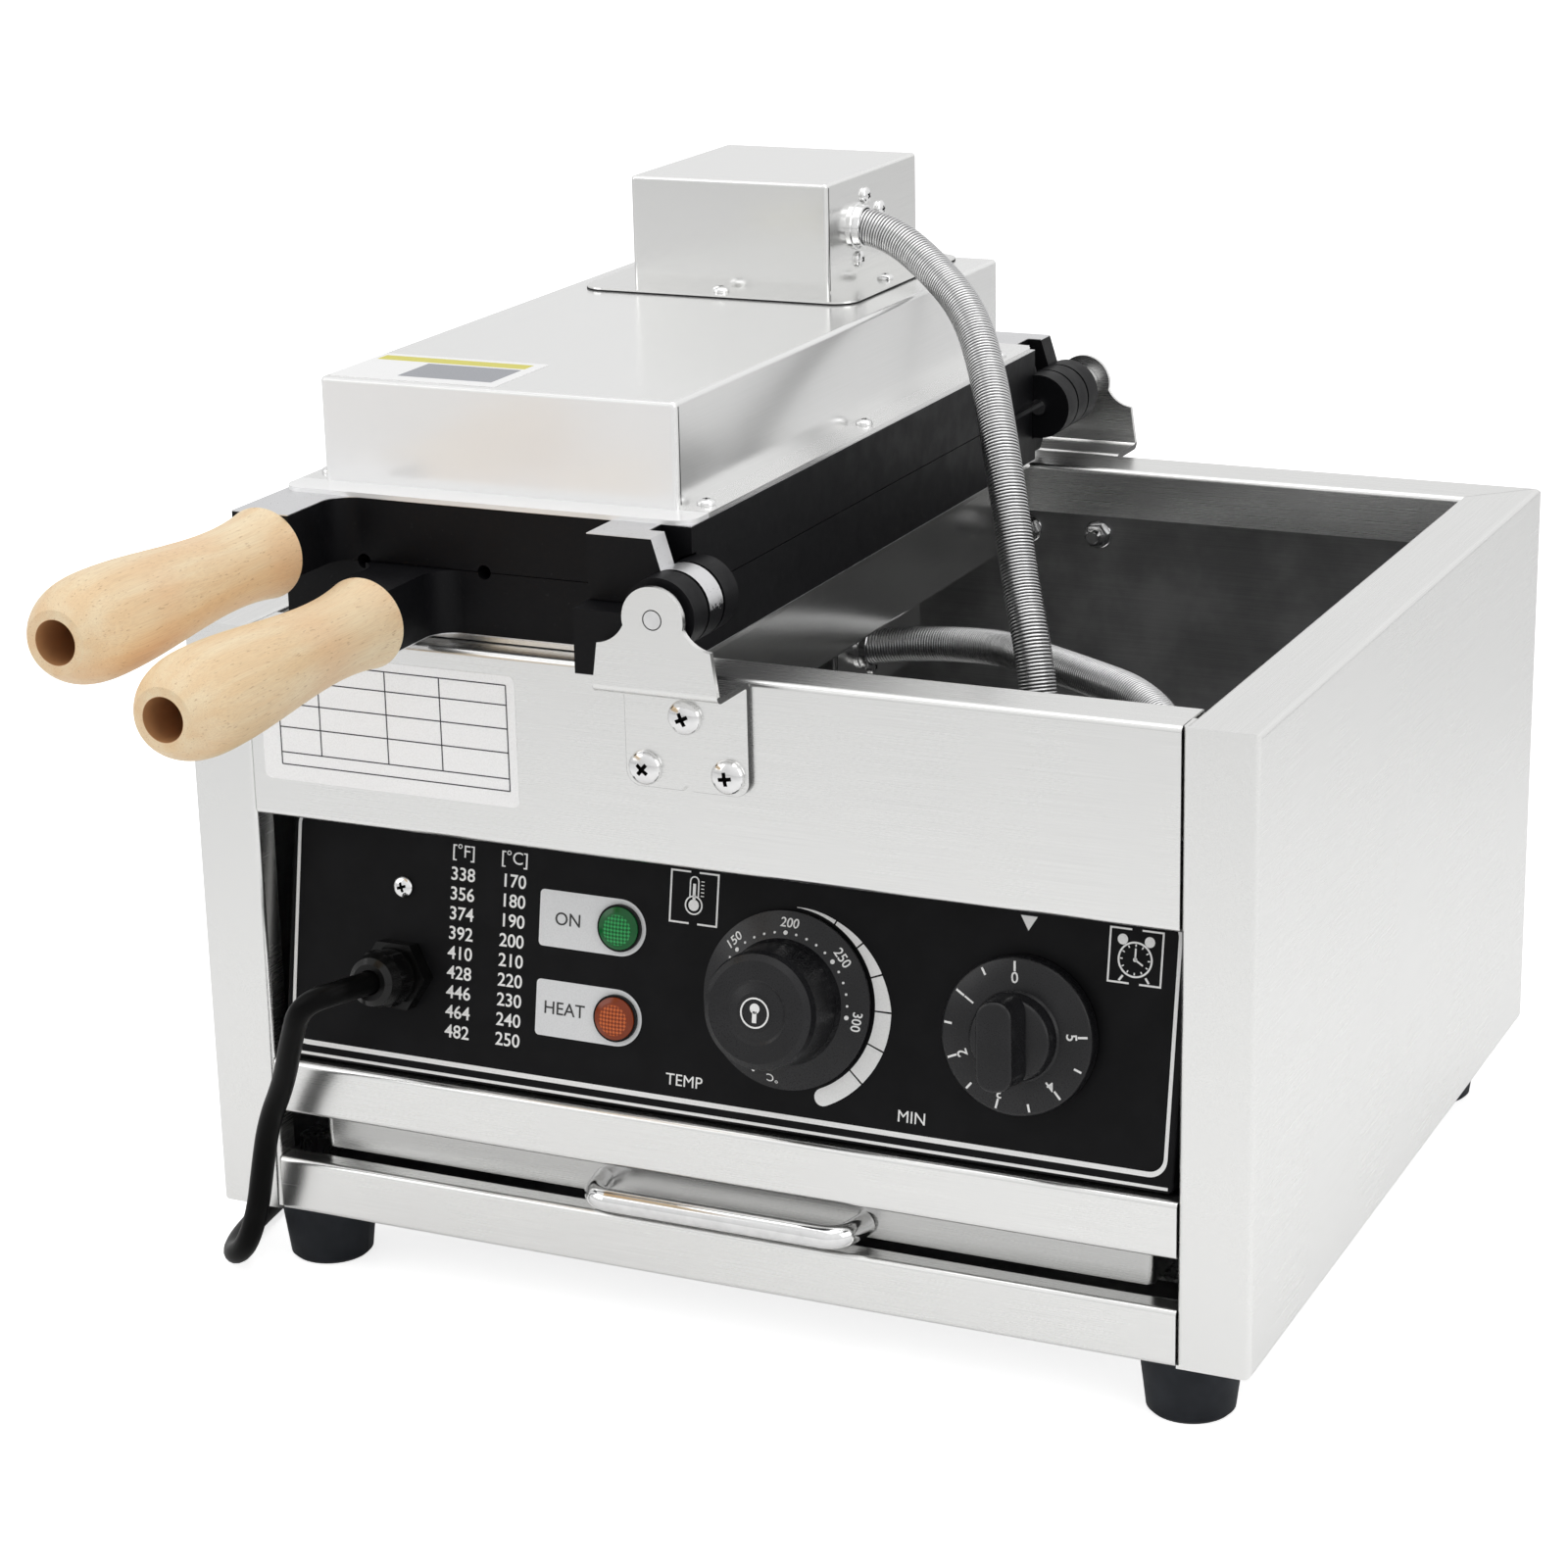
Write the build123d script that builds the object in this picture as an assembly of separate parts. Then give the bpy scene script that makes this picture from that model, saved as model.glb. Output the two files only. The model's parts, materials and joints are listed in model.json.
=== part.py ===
from build123d import *
import math
import os

os.makedirs("parts", exist_ok=True)

# Waffle cone maker: an open steel housing that carries two hinged, book-like baking plates.
# Millimetres.  X runs to the right, Y to the back, Z up, with z = 0 on the worktop.
# Sizes below are measured from the middle of the housing; the export step moves every
# piece along Y so that the origin lies under the middle of the whole machine.

# ---- housing ----
housing_width = 375.0
housing_depth = 334.0
housing_top = 234.6
foot_height = 25.0
sheet = 1.2                   # steel sheet
bend = 2.0                    # outer radius of a bend
pillar_width = 24.2           # front flange of a side panel
side_flange = 24.0            # top flange of a side panel
rear_flange = 24.0            # top flange of the rear panel
front_flange = 21.5           # top flange of the apron
lip_drop = 18.5               # flanges turn down into the well
foot_flange = 44.0            # bottom flange of a side panel
return_depth = 10.0           # pillar edge turned back
apron_bottom = 169.5
strip_bottom = 61.5
strip_top = 81.0
rail_top = 44.5
seam = 0.3                    # gap between neighbouring sheets
bulkhead_inset = 75.0         # wall between the well and the control box, behind the face
ledge_clearance = 7.4         # below the lower plate's cover
shelf_z = 63.0                # floor of the control box

# ---- control panel ----
panel_inset = 4.0             # foot of the panel behind the housing's face
panel_foot_z = 85.0
panel_lean = 10.07            # degrees back from upright
panel_side_gap = 2.8          # to the pillars
panel_low = -3.1              # ends of the face, measured up the slope from its foot
panel_high = 91.0
panel_return = 13.0
knob_rise = 41.0              # height of both knobs up the slope
thermostat_x = 27.3
timer_x = 108.0
lamp_x = -34.2
lamp_rises = (56.8, 26.6)
gland_x = -116.2
gland_rise = 31.0
panel_screw_rise = 60.6

# ---- plates ----
plate_clearance = 1.9         # between the housing's top and the lower plate
pin_radius = 3.0
pin_clearance = 0.05
plate_side_gap = 11.1         # from the well's left edge
plate_right = -2.5
plate_front_inset = 11.0      # behind the housing's face
plate_rear_inset = 25.5
plate_thickness = 21.4
parting_gap = 0.15            # each half stands this far from the parting plane
knuckle_radius = 12.2
knuckle_width = 9.7
knuckle_play = 1.3            # between neighbouring knuckles
lug_left = -30.0
swing_clearance = 0.7         # around the other plate's knuckles
cavity_pitch = 44.75
cavity_count = 3
cavity_mouth_radius = 17.0
cavity_tip_radius = 6.0
cavity_front_wall = 16.0      # casting in front of a cavity's mouth
cavity_rear_wall = 49.5
cavity_rings = 8
ring_width = 7.0
ring_depth = 1.6
vent_radius = 2.4

# ---- covers and terminal boxes on the plates ----
cover_flange = 1.5
cover_height = 34.6           # above its flange
cover_left_inset = 9.4        # from the side of the casting
cover_right_inset = 10.5
cover_front_inset = 12.2      # from the end of the casting
cover_rear_inset = 11.7
box_right_inset = 39.0        # from the right side of the casting
box_width = 78.0
box_depth = 82.0
box_rear_inset = 21.5         # from the end of the casting
box_height = 40.1
box_flange = 15.0
conduit_radius = 6.6
conduit_inset = 26.0          # behind the box's front
conduit_rise = 21.5           # above the cover's top

# ---- handles ----
grip_inset = {"upper": 10.5, "lower": 46.6}   # from the left side of the casting
grip_rise = {"upper": 8.0, "lower": 12.0}
grip_length = 114.0
grip_root_radius = 15.1
grip_neck_radius = 13.2
grip_belly_radius = 17.0
grip_end_radius = 10.0
grip_bore = 7.0
grip_bore_depth = 60.0
boss_width = 21.0
boss_reach = 30.0             # in front of the casting's body
bolt_radius = 3.0

# ---- hinge brackets ----
bracket_sheet = 2.0
bracket_reach = 23.0          # in front of the housing's face
bracket_half_width = 21.5
bracket_plate_drop = 38.0
ear_shoulder = 8.9            # below the pin
ear_radius = 10.5
bracket_nick = 1.7            # small notch in the lower edge
screw_places = ((0.0, 13.6), (-14.5, 31.6), (14.5, 31.6))   # across, below the housing's top

# ---- drip tray ----
tray_side_gap = 11.8          # to the pillars
tray_front_inset = 12.0
tray_rear_inset = 29.0
tray_gap = 1.5                # above the rail and below the trim strip
tray_sheet = 1.0
runner_front_inset = 20.0
runner_rear_inset = 18.0
tray_handle_x = 5.0
tray_handle_pitch = 96.0
tray_handle_z = 51.0
tray_handle_reach = 15.0
tray_handle_radius = 3.9

# ---- feet ----
foot_side_inset = 27.5
foot_end_inset = 25.0
foot_bottom_radius = 14.5
foot_top_radius = 17.5

# ---- power cord ----
cord_radius = 4.0
cord_start = 8.0              # end of the cord inside its gland, out of the panel
coil_turn_radius = 47.5       # middle of the turns
coil_center = (-118.0, 250.0)
coil_turns_wide = 2
coil_turns_high = 2

half_width = housing_width / 2
front_y = -housing_depth / 2
rear_y = housing_depth / 2
pillar_edge = half_width - pillar_width
well_edge = half_width - side_flange
inner_wall = half_width - sheet
pin_z = housing_top + plate_thickness + plate_clearance   # hinge axis and parting plane
plate_left = plate_side_gap - well_edge
plate_front = front_y + plate_front_inset
plate_rear = rear_y - plate_rear_inset
plate_length = plate_rear - plate_front
plate_middle_y = (plate_front + plate_rear) / 2
plate_center_x = (plate_left + plate_right) / 2
cavity_length = plate_length - cavity_front_wall - cavity_rear_wall
cover_left = plate_left + cover_left_inset
cover_right = plate_right - cover_right_inset
box_right = plate_right - box_right_inset
box_left = box_right - box_width
box_rear = plate_rear - box_rear_inset
box_front = box_rear - box_depth
conduit_y = box_front + conduit_inset
grip_x = {name: plate_left + inset for name, inset in grip_inset.items()}
bulkhead_y = front_y + bulkhead_inset
bulkhead_ledge = pin_z - plate_thickness - cover_flange - cover_height - ledge_clearance
panel_foot_y = front_y + panel_inset
panel_width = 2 * (pillar_edge - panel_side_gap)
ear_shoulder_z = pin_z - ear_shoulder
bracket_screws = [(x, housing_top - drop) for x, drop in screw_places]
tray_half_width = pillar_edge - tray_side_gap
tray_front_y = front_y + tray_front_inset
tray_rear_y = rear_y - tray_rear_inset
tray_floor_z = rail_top + tray_gap
tray_height = strip_bottom - tray_gap - tray_floor_z
foot_x = half_width - foot_side_inset
foot_y = rear_y - foot_end_inset
grip_front_y = plate_front - boss_reach - grip_length
ear_front_y = front_y - bracket_reach
ear_rear_y = rear_y + bracket_reach
y_shift = -(grip_front_y + ear_rear_y) / 2

CENTERED_LOW = (Align.CENTER, Align.CENTER, Align.MIN)


# ---------------------------------------------------------------- helpers

def block(x0, x1, y0, y1, z0, z1):
    """Box between two corners."""
    size = Box(x1 - x0, y1 - y0, z1 - z0)
    return Pos((x0 + x1) / 2, (y0 + y1) / 2, (z0 + z1) / 2) * size


def rod(start, direction, radius, length):
    """Cylinder from a point along a direction."""
    return Plane(origin=start, z_dir=direction) * Cylinder(radius, length, align=CENTERED_LOW)


def turned(outline, place=Plane.XY):
    """Solid of revolution about the place's z axis; the outline is (radius, height) points."""
    face = Plane.XZ * make_face(Polyline(*outline, close=True))
    return place * revolve(face, Axis.Z, 360)


def along_x(x0):
    """Plane for an outline in (y, z) that is drawn out to the right from x0."""
    return Plane(origin=(x0, 0, 0), x_dir=(0, 1, 0), z_dir=(1, 0, 0))


def along_y(y1):
    """Plane for an outline in (x, z) that is drawn out towards the front from y1."""
    return Plane(origin=(0, y1, 0), x_dir=(1, 0, 0), z_dir=(0, -1, 0))


def folded(points, length, place, thickness=sheet, radius=bend, inside=1):
    """Bent sheet. The outline runs along its faces; the thickness lies on the right of the
    outline's direction (inside=1) or on its left (inside=-1)."""
    outline = [Vector(*p) for p in points]
    runs = [(b - a).normalized() for a, b in zip(outline, outline[1:])]
    normals = [Vector(r.Y, -r.X) * (inside * thickness) for r in runs]
    back = [outline[0] + normals[0]]
    for i in range(1, len(outline) - 1):
        middle = (normals[i - 1] + normals[i]).normalized()
        reach = thickness / math.cos(math.radians(normals[i - 1].get_angle(normals[i]) / 2))
        back.append(outline[i] + middle * reach)
    back.append(outline[-1] + normals[-1])
    face = make_face(Polyline(*outline, *reversed(back), close=True))
    for i in range(1, len(outline) - 1):
        turn = runs[i - 1].X * runs[i].Y - runs[i - 1].Y * runs[i].X
        near, far = (radius, radius - thickness) if turn * inside < 0 else (radius - thickness, radius)
        for corner, size in ((outline[i], near), (back[i], far)):
            nearest = face.vertices().sort_by_distance(corner)[0]
            face = fillet(nearest, size)
    return place * extrude(face, amount=length, dir=(0, 0, 1))


def tube(points, radius, fraction=0.45):
    """Round bar along straight runs joined by tangent arcs, with the arc radii it used."""
    radii = []
    for a, b, c in zip(points, points[1:], points[2:]):
        first, second = Vector(*b) - Vector(*a), Vector(*c) - Vector(*b)
        turn = math.radians(first.get_angle(second))
        radii.append(fraction * min(first.length, second.length) / math.tan(turn / 2))
    path = FilletPolyline(*points, radius=radii)
    start = Plane(origin=path @ 0, z_dir=path % 0)
    solid = sweep(start * Circle(radius), path=path)
    return solid, radii, path.length


def both_sides(shape):
    """The shape and its mirror image in the machine's middle plane."""
    return [shape, mirror(shape, about=Plane.YZ)]


# The control panel's own frame: x to the right, y up the slope, z out of the face.
lean = math.radians(panel_lean)
panel_face = Plane(
    origin=(0, panel_foot_y, panel_foot_z), x_dir=(1, 0, 0), z_dir=(0, -math.cos(lean), math.sin(lean))
)


def on_panel(x, rise, out=0.0):
    """Frame at a place on the control panel, with z out of the face."""
    return panel_face * Pos(x, rise, out)


def panel_point(x, rise, out=0.0):
    """Point in front of the control panel."""
    return tuple(panel_face.from_local_coords(Vector(x, rise, out)))


# ---------------------------------------------------------------- housing

def side_panel():
    """Right side in one sheet: wall, front pillar, top flange with its lip, flange for the feet."""
    wall = folded(
        (
            (half_width - foot_flange, foot_height),
            (half_width, foot_height),
            (half_width, housing_top),
            (well_edge, housing_top),
            (well_edge, housing_top - lip_drop),
        ),
        housing_depth, along_y(rear_y), inside=-1,
    )
    lip_z = housing_top - lip_drop - 1
    under = housing_top - sheet
    wall -= block(well_edge - 1, well_edge + bend + 1, front_y - 1, front_y + front_flange + seam, lip_z, under)
    rear_lip = rear_y - rear_flange
    wall -= block(well_edge - 1, well_edge + bend + 1, rear_lip - sheet - seam, rear_y + 1, lip_z, under)
    corners = Polyline((pillar_edge, foot_height), (half_width, foot_height), (half_width, housing_top),
                       (pillar_edge, housing_top), close=True)
    front = make_face(corners)
    front = fillet([v for v in front.vertices() if v.X > half_width - 1], bend)
    pillar = along_y(front_y + sheet) * extrude(front, amount=sheet, dir=(0, 0, 1))
    pillar += block(pillar_edge, pillar_edge + sheet, front_y, front_y + return_depth, foot_height, housing_top)
    panel = wall + pillar
    inner_y = front_y + sheet
    for x, y, radius in ((inner_wall, inner_y, bend - sheet), (pillar_edge, front_y, bend),
                         (pillar_edge + sheet, inner_y, bend - sheet)):
        upright = [e for e in panel.edges() if abs((e % 0.5).Z) > 0.99
                   and math.hypot((e @ 0.5).X - x, (e @ 0.5).Y - y) < 0.01]
        panel = fillet(upright, radius)
    spare = block(half_width - bend, half_width + 1, front_y - 1, front_y + bend, foot_height - 1, housing_top + 1)
    spare -= rod((half_width - bend, front_y + bend, foot_height - 1), (0, 0, 1), bend, housing_top)
    panel -= spare
    rail_room = front_y + return_depth + sheet + 6
    panel -= block(half_width - foot_flange - 1, pillar_edge, front_y - 1, rail_room, foot_height - 1,
                   foot_height + bend + 1)
    mitre = Polyline((well_edge - 1, rear_lip - 1 - seam), (half_width, rear_y - seam),
                     (half_width, rear_y + 1), (well_edge - 1, rear_y + 1), close=True)
    panel -= Pos(0, 0, under) * extrude(make_face(mitre), amount=sheet + 1)
    for y in (-foot_y, foot_y):
        panel -= rod((foot_x, y, foot_height - 1), (0, 0, 1), 3.3, 4)
    return panel


def front_apron():
    """Sheet above the control panel that closes the front of the well."""
    outline = (
        (front_y + 13, apron_bottom),
        (front_y, apron_bottom),
        (front_y, housing_top),
        (front_y + front_flange, housing_top),
        (front_y + front_flange, housing_top - lip_drop),
    )
    width = 2 * (pillar_edge - seam)
    apron = folded(outline, width, along_x(-width / 2))
    for x, z in bracket_screws:
        apron -= rod((x, front_y - 1, z), (0, 1, 0), 2.6, 5)
    return apron


def rear_panel():
    """Back wall with its top flange, lip and bottom flange."""
    outline = (
        (rear_y - 18, foot_height),
        (rear_y, foot_height),
        (rear_y, housing_top),
        (rear_y - rear_flange, housing_top),
        (rear_y - rear_flange, housing_top - lip_drop),
    )
    width = 2 * (inner_wall - 3 * seam)
    panel = folded(outline, width, along_x(-width / 2), inside=-1)
    rear_lip = rear_y - rear_flange
    corner = Polyline((well_edge - seam, rear_lip - 1), (well_edge - seam, rear_lip - seam),
                      (half_width, rear_y), (half_width, rear_lip - 1), close=True)
    cut = Pos(0, 0, housing_top - lip_drop - 1) * extrude(make_face(corner), amount=lip_drop + 2)
    low = block(half_width - foot_flange - seam, half_width, rear_y - 20, rear_y + 1, foot_height - 1,
                foot_height + sheet)
    for piece in both_sides(cut) + both_sides(low):
        panel -= piece
    for x, z in bracket_screws:
        panel -= rod((x, rear_y - 3, z), (0, 1, 0), 2.6, 5)
    return panel


def base_plate():
    """Bottom of the housing, laid on the side panels' flanges, with slots for cooling air."""
    low = foot_height + sheet
    clear = bend + seam
    plate = block(-half_width + clear, half_width - clear, front_y + return_depth + seam,
                  rear_y - clear, low, low + sheet)
    slot = extrude(SlotOverall(100, 6), amount=2 * sheet)
    for x in (-65, 65):
        for y in range(-60, 101, 40):
            plate -= Pos(x, y, low - sheet / 2) * slot
    for x in (-foot_x, foot_x):
        for y in (-foot_y, foot_y):
            plate -= rod((x, y, low - 1), (0, 0, 1), 3.3, 4)
    return plate


conduit_ports = {"upper": (61.5, 118.0), "lower": (126.5, 158.0)}   # on the bulkhead: x, z


def bulkhead():
    """Folded wall between the well and the control box: ledge, wall and the box's floor."""
    behind_lip = front_y + front_flange - sheet - seam
    outline = (
        (behind_lip, housing_top - 3),
        (behind_lip, bulkhead_ledge),
        (bulkhead_y, bulkhead_ledge),
        (bulkhead_y, shelf_z),
        (front_y + return_depth + sheet, shelf_z),
    )
    width = 2 * (inner_wall - seam)
    wall = folded(outline, width, along_x(-width / 2))
    for x, z in conduit_ports.values():
        wall -= rod((x, bulkhead_y - 3, z), (0, 1, 0), 5.0, 6)
    return wall


def trim_strip():
    """Bright strip under the control panel, above the tray's opening."""
    outline = (
        (front_y + 11, strip_bottom),
        (front_y, strip_bottom),
        (front_y, strip_top),
        (front_y + 6.5, strip_top),
    )
    width = 2 * (pillar_edge - seam)
    return folded(outline, width, along_x(-width / 2))


def bottom_rail():
    """Rail below the tray's opening."""
    outline = (
        (front_y + 16, foot_height),
        (front_y, foot_height),
        (front_y, rail_top),
        (front_y + 9.5, rail_top),
        (front_y + 9.5, rail_top - 5),
    )
    width = 2 * (pillar_edge - seam)
    return folded(outline, width, along_x(-width / 2))


def tray_runners():
    """Two Z-shaped runners that carry the tray's bottom."""
    top = tray_floor_z - seam
    base_top = foot_height + 2 * sheet
    outline = (
        (tray_half_width - 6, top),
        (tray_half_width + 16, top),
        (tray_half_width + 16, base_top + sheet),
        (tray_half_width + 29, base_top + sheet),
    )
    back = rear_y - runner_rear_inset
    length = back - front_y - runner_front_inset
    return both_sides(folded(outline, length, along_y(back)))


# ---------------------------------------------------------------- control panel

def control_panel():
    """Shallow pressed pan that leans back, with the holes for what is mounted on it."""
    rise = panel_high - panel_low
    middle = (panel_high + panel_low) / 2
    pan = Pos(0, middle, -panel_return / 2) * Box(panel_width, rise, panel_return)
    upright = [e for e in pan.edges() if abs((e % 0.5).Z) > 0.9]
    pan = fillet(upright, 2.5)
    pan = fillet(pan.faces().sort_by(Axis.Z)[-1].edges(), 1.2)
    inner = Box(panel_width - 2 * sheet, rise - 2 * sheet, panel_return)
    pan -= Pos(0, middle, -panel_return / 2 - sheet) * inner
    holes = [(thermostat_x, knob_rise, 5.0), (timer_x, knob_rise, 5.0), (gland_x, gland_rise, 8.1),
             (gland_x, panel_screw_rise, 1.9)]
    holes += [(lamp_x, rise, 6.5) for rise in lamp_rises]
    for x, y, radius in holes:
        pan -= Pos(x, y, -sheet - 1) * Cylinder(radius, sheet + 2, align=CENTERED_LOW)
    return panel_face * pan


def lens(rise):
    """Domed lens of a pilot lamp."""
    dome = ((0, 0.9), (7.1, 0.9), (7.1, 1.9), (5.4, 2.7), (2.8, 3.1), (0, 3.2))
    return turned(dome, on_panel(lamp_x, rise))


def lamp_holders():
    """Bezel, neck and two blades of each pilot lamp."""
    outline = ((0, -19), (6.3, -19), (6.3, 0.1), (7.9, 0.1), (7.9, 1.4), (7.2, 1.4), (7.2, 0.8), (0, 0.8))
    holders = []
    for rise in lamp_rises:
        place = on_panel(lamp_x, rise)
        holder = turned(outline, place)
        for x in (-2.6, 2.6):
            holder += place * Pos(x, 0, -23) * Box(0.8, 4.8, 9)
        holders.append(holder)
    return holders


def thermostat_body():
    """Capillary thermostat behind the panel, with a blind bearing for its shaft."""
    body = Pos(0, 0, -sheet - 15.1) * Box(42, 42, 30)
    upright = [e for e in body.edges() if abs((e % 0.5).Z) > 0.9]
    body = fillet(upright, 5)
    body += Pos(0, 0, -46) * Cylinder(12, 14, align=CENTERED_LOW)
    body -= Pos(0, 0, -12) * Cylinder(pin_radius + pin_clearance, 20, align=CENTERED_LOW)
    return on_panel(thermostat_x, knob_rise) * body


def timer_body():
    """Wind-up timer behind the panel: a square clockwork case with four posts and a bell."""
    body = Pos(0, 0, -sheet - 0.1 - 26) * Box(46, 46, 3)
    body += Pos(0, 0, -sheet - 0.1 - 1) * Box(46, 46, 2)
    body += Pos(0, 0, -sheet - 0.1 - 25) * Cylinder(19, 24, align=CENTERED_LOW)
    for x in (-19.5, 19.5):
        for y in (-19.5, 19.5):
            body += Pos(x, y, -sheet - 0.1 - 25) * Cylinder(2.2, 24, align=CENTERED_LOW)
    body += Pos(0, 0, -sheet - 0.1 - 36) * Cylinder(15, 10, align=CENTERED_LOW)
    body -= Pos(0, 0, -12) * Cylinder(pin_radius + pin_clearance, 20, align=CENTERED_LOW)
    return on_panel(timer_x, knob_rise) * body


def knob_shaft(x):
    """Shaft with a flat for its knob."""
    shaft = Pos(0, 0, -11.7) * Cylinder(pin_radius, 27, align=CENTERED_LOW)
    shaft -= Pos(0, 2 * pin_radius - 0.6, 10.8) * Box(3 * pin_radius, 2 * pin_radius, 9.6)
    return on_panel(x, knob_rise) * shaft


def thermostat_knob():
    """Round cap with a dished top on a sloping skirt that carries the scale."""
    outline = (
        (0, 15.6), (pin_radius + 0.05, 15.6), (pin_radius + 0.05, 1.0), (29.3, 1.0), (29.3, 2.2),
        (20.8, 5.4), (19.9, 7.4), (19.4, 21.6), (18.6, 23.9), (16.6, 25.2), (10.6, 25.5),
        (9.6, 24.9), (6.4, 25.6), (0, 26.0),
    )
    return turned(outline, on_panel(thermostat_x, knob_rise))


def timer_knob():
    """Flat dial with a bar to turn it by."""
    bore = pin_radius + 0.05
    outline = (
        (0, 15.6), (bore, 15.6), (bore, 1.0), (25.4, 1.0), (25.4, 5.6), (24.2, 6.6), (8, 7.0),
        (4.6, 16.4), (0, 16.4),
    )
    knob = turned(outline)
    bar = Pos(0, 0, 12.5) * Box(12.5, 41, 15)
    upright = [e for e in bar.edges() if abs((e % 0.5).Z) > 0.9]
    bar = fillet(upright, 5.0)
    bar = fillet(bar.faces().sort_by(Axis.Z)[-1].edges(), 1.6)
    bar -= Pos(0, 0, -1) * Cylinder(bore, 16.6, align=CENTERED_LOW)
    return on_panel(timer_x, knob_rise) * (knob + bar)


def pan_screw(head_radius, head_height, shank_radius, shank_length, cross=0.0):
    """Pan-head screw along its own z axis: head above z = 0, shank below."""
    outline = (
        (0, -shank_length), (shank_radius, -shank_length), (shank_radius, 0), (head_radius, 0),
        (head_radius, 0.35 * head_height), (0.8 * head_radius, 0.8 * head_height),
        (0.4 * head_radius, head_height), (0, head_height),
    )
    screw = turned(outline)
    if cross:
        for size in ((cross, cross / 4), (cross / 4, cross)):
            screw -= Pos(0, 0, head_height) * Box(size[0], size[1], head_height)
    return screw


def hexagon(across_flats, height):
    """Hexagonal prism on z = 0."""
    return extrude(RegularPolygon(across_flats / 2, 6, major_radius=False), amount=height)


def cable_gland():
    """Gland body: hexagon against the panel, neck through it and a domed cap in front."""
    outline = ((0, -9), (8.0, -9), (8.0, 6), (8.6, 6), (9.4, 7.4), (9.4, 15.5), (8.2, 19.6), (6.2, 21), (0, 21))
    gland = turned(outline) + hexagon(22, 6)
    cap = Pos(0, 0, 8.2) * hexagon(17.6, 6.6)
    bore = Pos(0, 0, cord_start) * Cylinder(cord_radius + 0.3, 30, align=CENTERED_LOW)
    return on_panel(gland_x, gland_rise) * (gland + cap - bore)


def gland_locknut():
    """Nut behind the panel."""
    nut = Pos(0, 0, -sheet - 5) * (hexagon(22, 5) - Cylinder(8.05, 20))
    return on_panel(gland_x, gland_rise) * nut


def terminal_block():
    """Five-way terminal block on the floor of the control box."""
    low = shelf_z + sheet
    front = front_y + 35
    block_body = block(-95, -25, front, front + 22, low, low + 12)
    for i in range(6):
        x = -95 + 14 * i
        block_body += block(x - 1 if i else x, x + 1 if i < 5 else x, front, front + 22, low + 12, low + 19)
    return block_body


# ---------------------------------------------------------------- hinge brackets and pins

def hinge_bracket():
    """Front bracket: screw plate, ledge and ear in one bent sheet."""
    plate_y = front_y - bracket_sheet
    ledge_under = housing_top - bracket_sheet
    outline = (
        (plate_y, housing_top - bracket_plate_drop),
        (plate_y, ledge_under),
        (ear_front_y, ledge_under),
        (ear_front_y, pin_z + ear_radius + 2),
    )
    strip = folded(outline, 2 * bracket_half_width, along_x(-bracket_half_width), bracket_sheet, 3.0)
    low = housing_top - bracket_plate_drop
    shoulder = bracket_half_width - 2
    waist = (ear_radius * math.cos(math.radians(14)), pin_z - ear_radius * math.sin(math.radians(14)))
    dip = ((shoulder + waist[0]) / 2 - 1.2, (ear_shoulder_z + waist[1]) / 2 - 0.9)
    edges = [
        Line((-bracket_half_width, low), (bracket_half_width, low)),
        Line((bracket_half_width, low), (bracket_half_width, housing_top)),
        Line((bracket_half_width, housing_top), (shoulder, ear_shoulder_z)),
        ThreePointArc((shoulder, ear_shoulder_z), dip, waist),
        ThreePointArc(waist, (0, pin_z + ear_radius), (-waist[0], waist[1])),
        ThreePointArc((-waist[0], waist[1]), (-dip[0], dip[1]), (-shoulder, ear_shoulder_z)),
        Line((-shoulder, ear_shoulder_z), (-bracket_half_width, housing_top)),
        Line((-bracket_half_width, housing_top), (-bracket_half_width, low)),
    ]
    face = make_face(edges)
    face = fillet([v for v in face.vertices() if abs(v.Y - low) < 0.01], 5.0)
    bracket = strip & (along_y(front_y) * extrude(face, amount=bracket_reach + 1, dir=(0, 0, 1)))
    bracket -= rod((0, ear_front_y - 1, pin_z), (0, 1, 0), pin_radius, bracket_sheet + 2)
    bracket -= rod((0, plate_y - 1, low), (0, 1, 0), bracket_nick, bracket_sheet + 2)
    for x, z in bracket_screws:
        bracket -= rod((x, plate_y - 1, z), (0, 1, 0), 2.6, bracket_sheet + 2)
    return bracket


def to_rear(shape):
    """Mirror image at the back of the machine."""
    return mirror(shape, about=Plane.XZ)


def bracket_screw_set():
    """Pan-head screws of the front bracket."""
    plate_y = front_y - bracket_sheet
    screw = pan_screw(5.5, 3.4, 2.5, 11, cross=5.2)
    return [Plane(origin=(x, plate_y, z), z_dir=(0, -1, 0)) * Rot(0, 0, 40) * screw for x, z in bracket_screws]


def bracket_nut_set():
    """Nuts of the front bracket, inside the apron."""
    nut = hexagon(8, 4) - Pos(0, 0, -1) * Cylinder(2.55, 8, align=CENTERED_LOW)
    return [Plane(origin=(x, front_y + sheet, z), z_dir=(0, 1, 0)) * nut for x, z in bracket_screws]


knuckle_inset = 2.5           # the inner knuckle reaches this far past the end of the plate


def knuckle_span(end, index):
    """Nearest and farthest Y of a knuckle; end is -1 at the front and 1 at the back."""
    edge = plate_front if end < 0 else plate_rear
    inner = edge + end * (index * (knuckle_width + knuckle_play) - knuckle_inset)
    return sorted((inner, inner + end * knuckle_width))


own_knuckles = {"upper": {-1: (1,), 1: (0, 2)}, "lower": {-1: (0, 2), 1: (1,)}}


def hinge_pin(end):
    """Pin that is riveted into a bracket's ear and carries the knuckles."""
    inner = knuckle_span(end, 0)[0 if end > 0 else 1] - end * 1.0
    outer = ear_rear_y if end > 0 else ear_front_y
    length = abs(outer - inner)
    pin = rod((0, inner, pin_z), (0, end, 0), pin_radius, length)
    return pin


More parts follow.
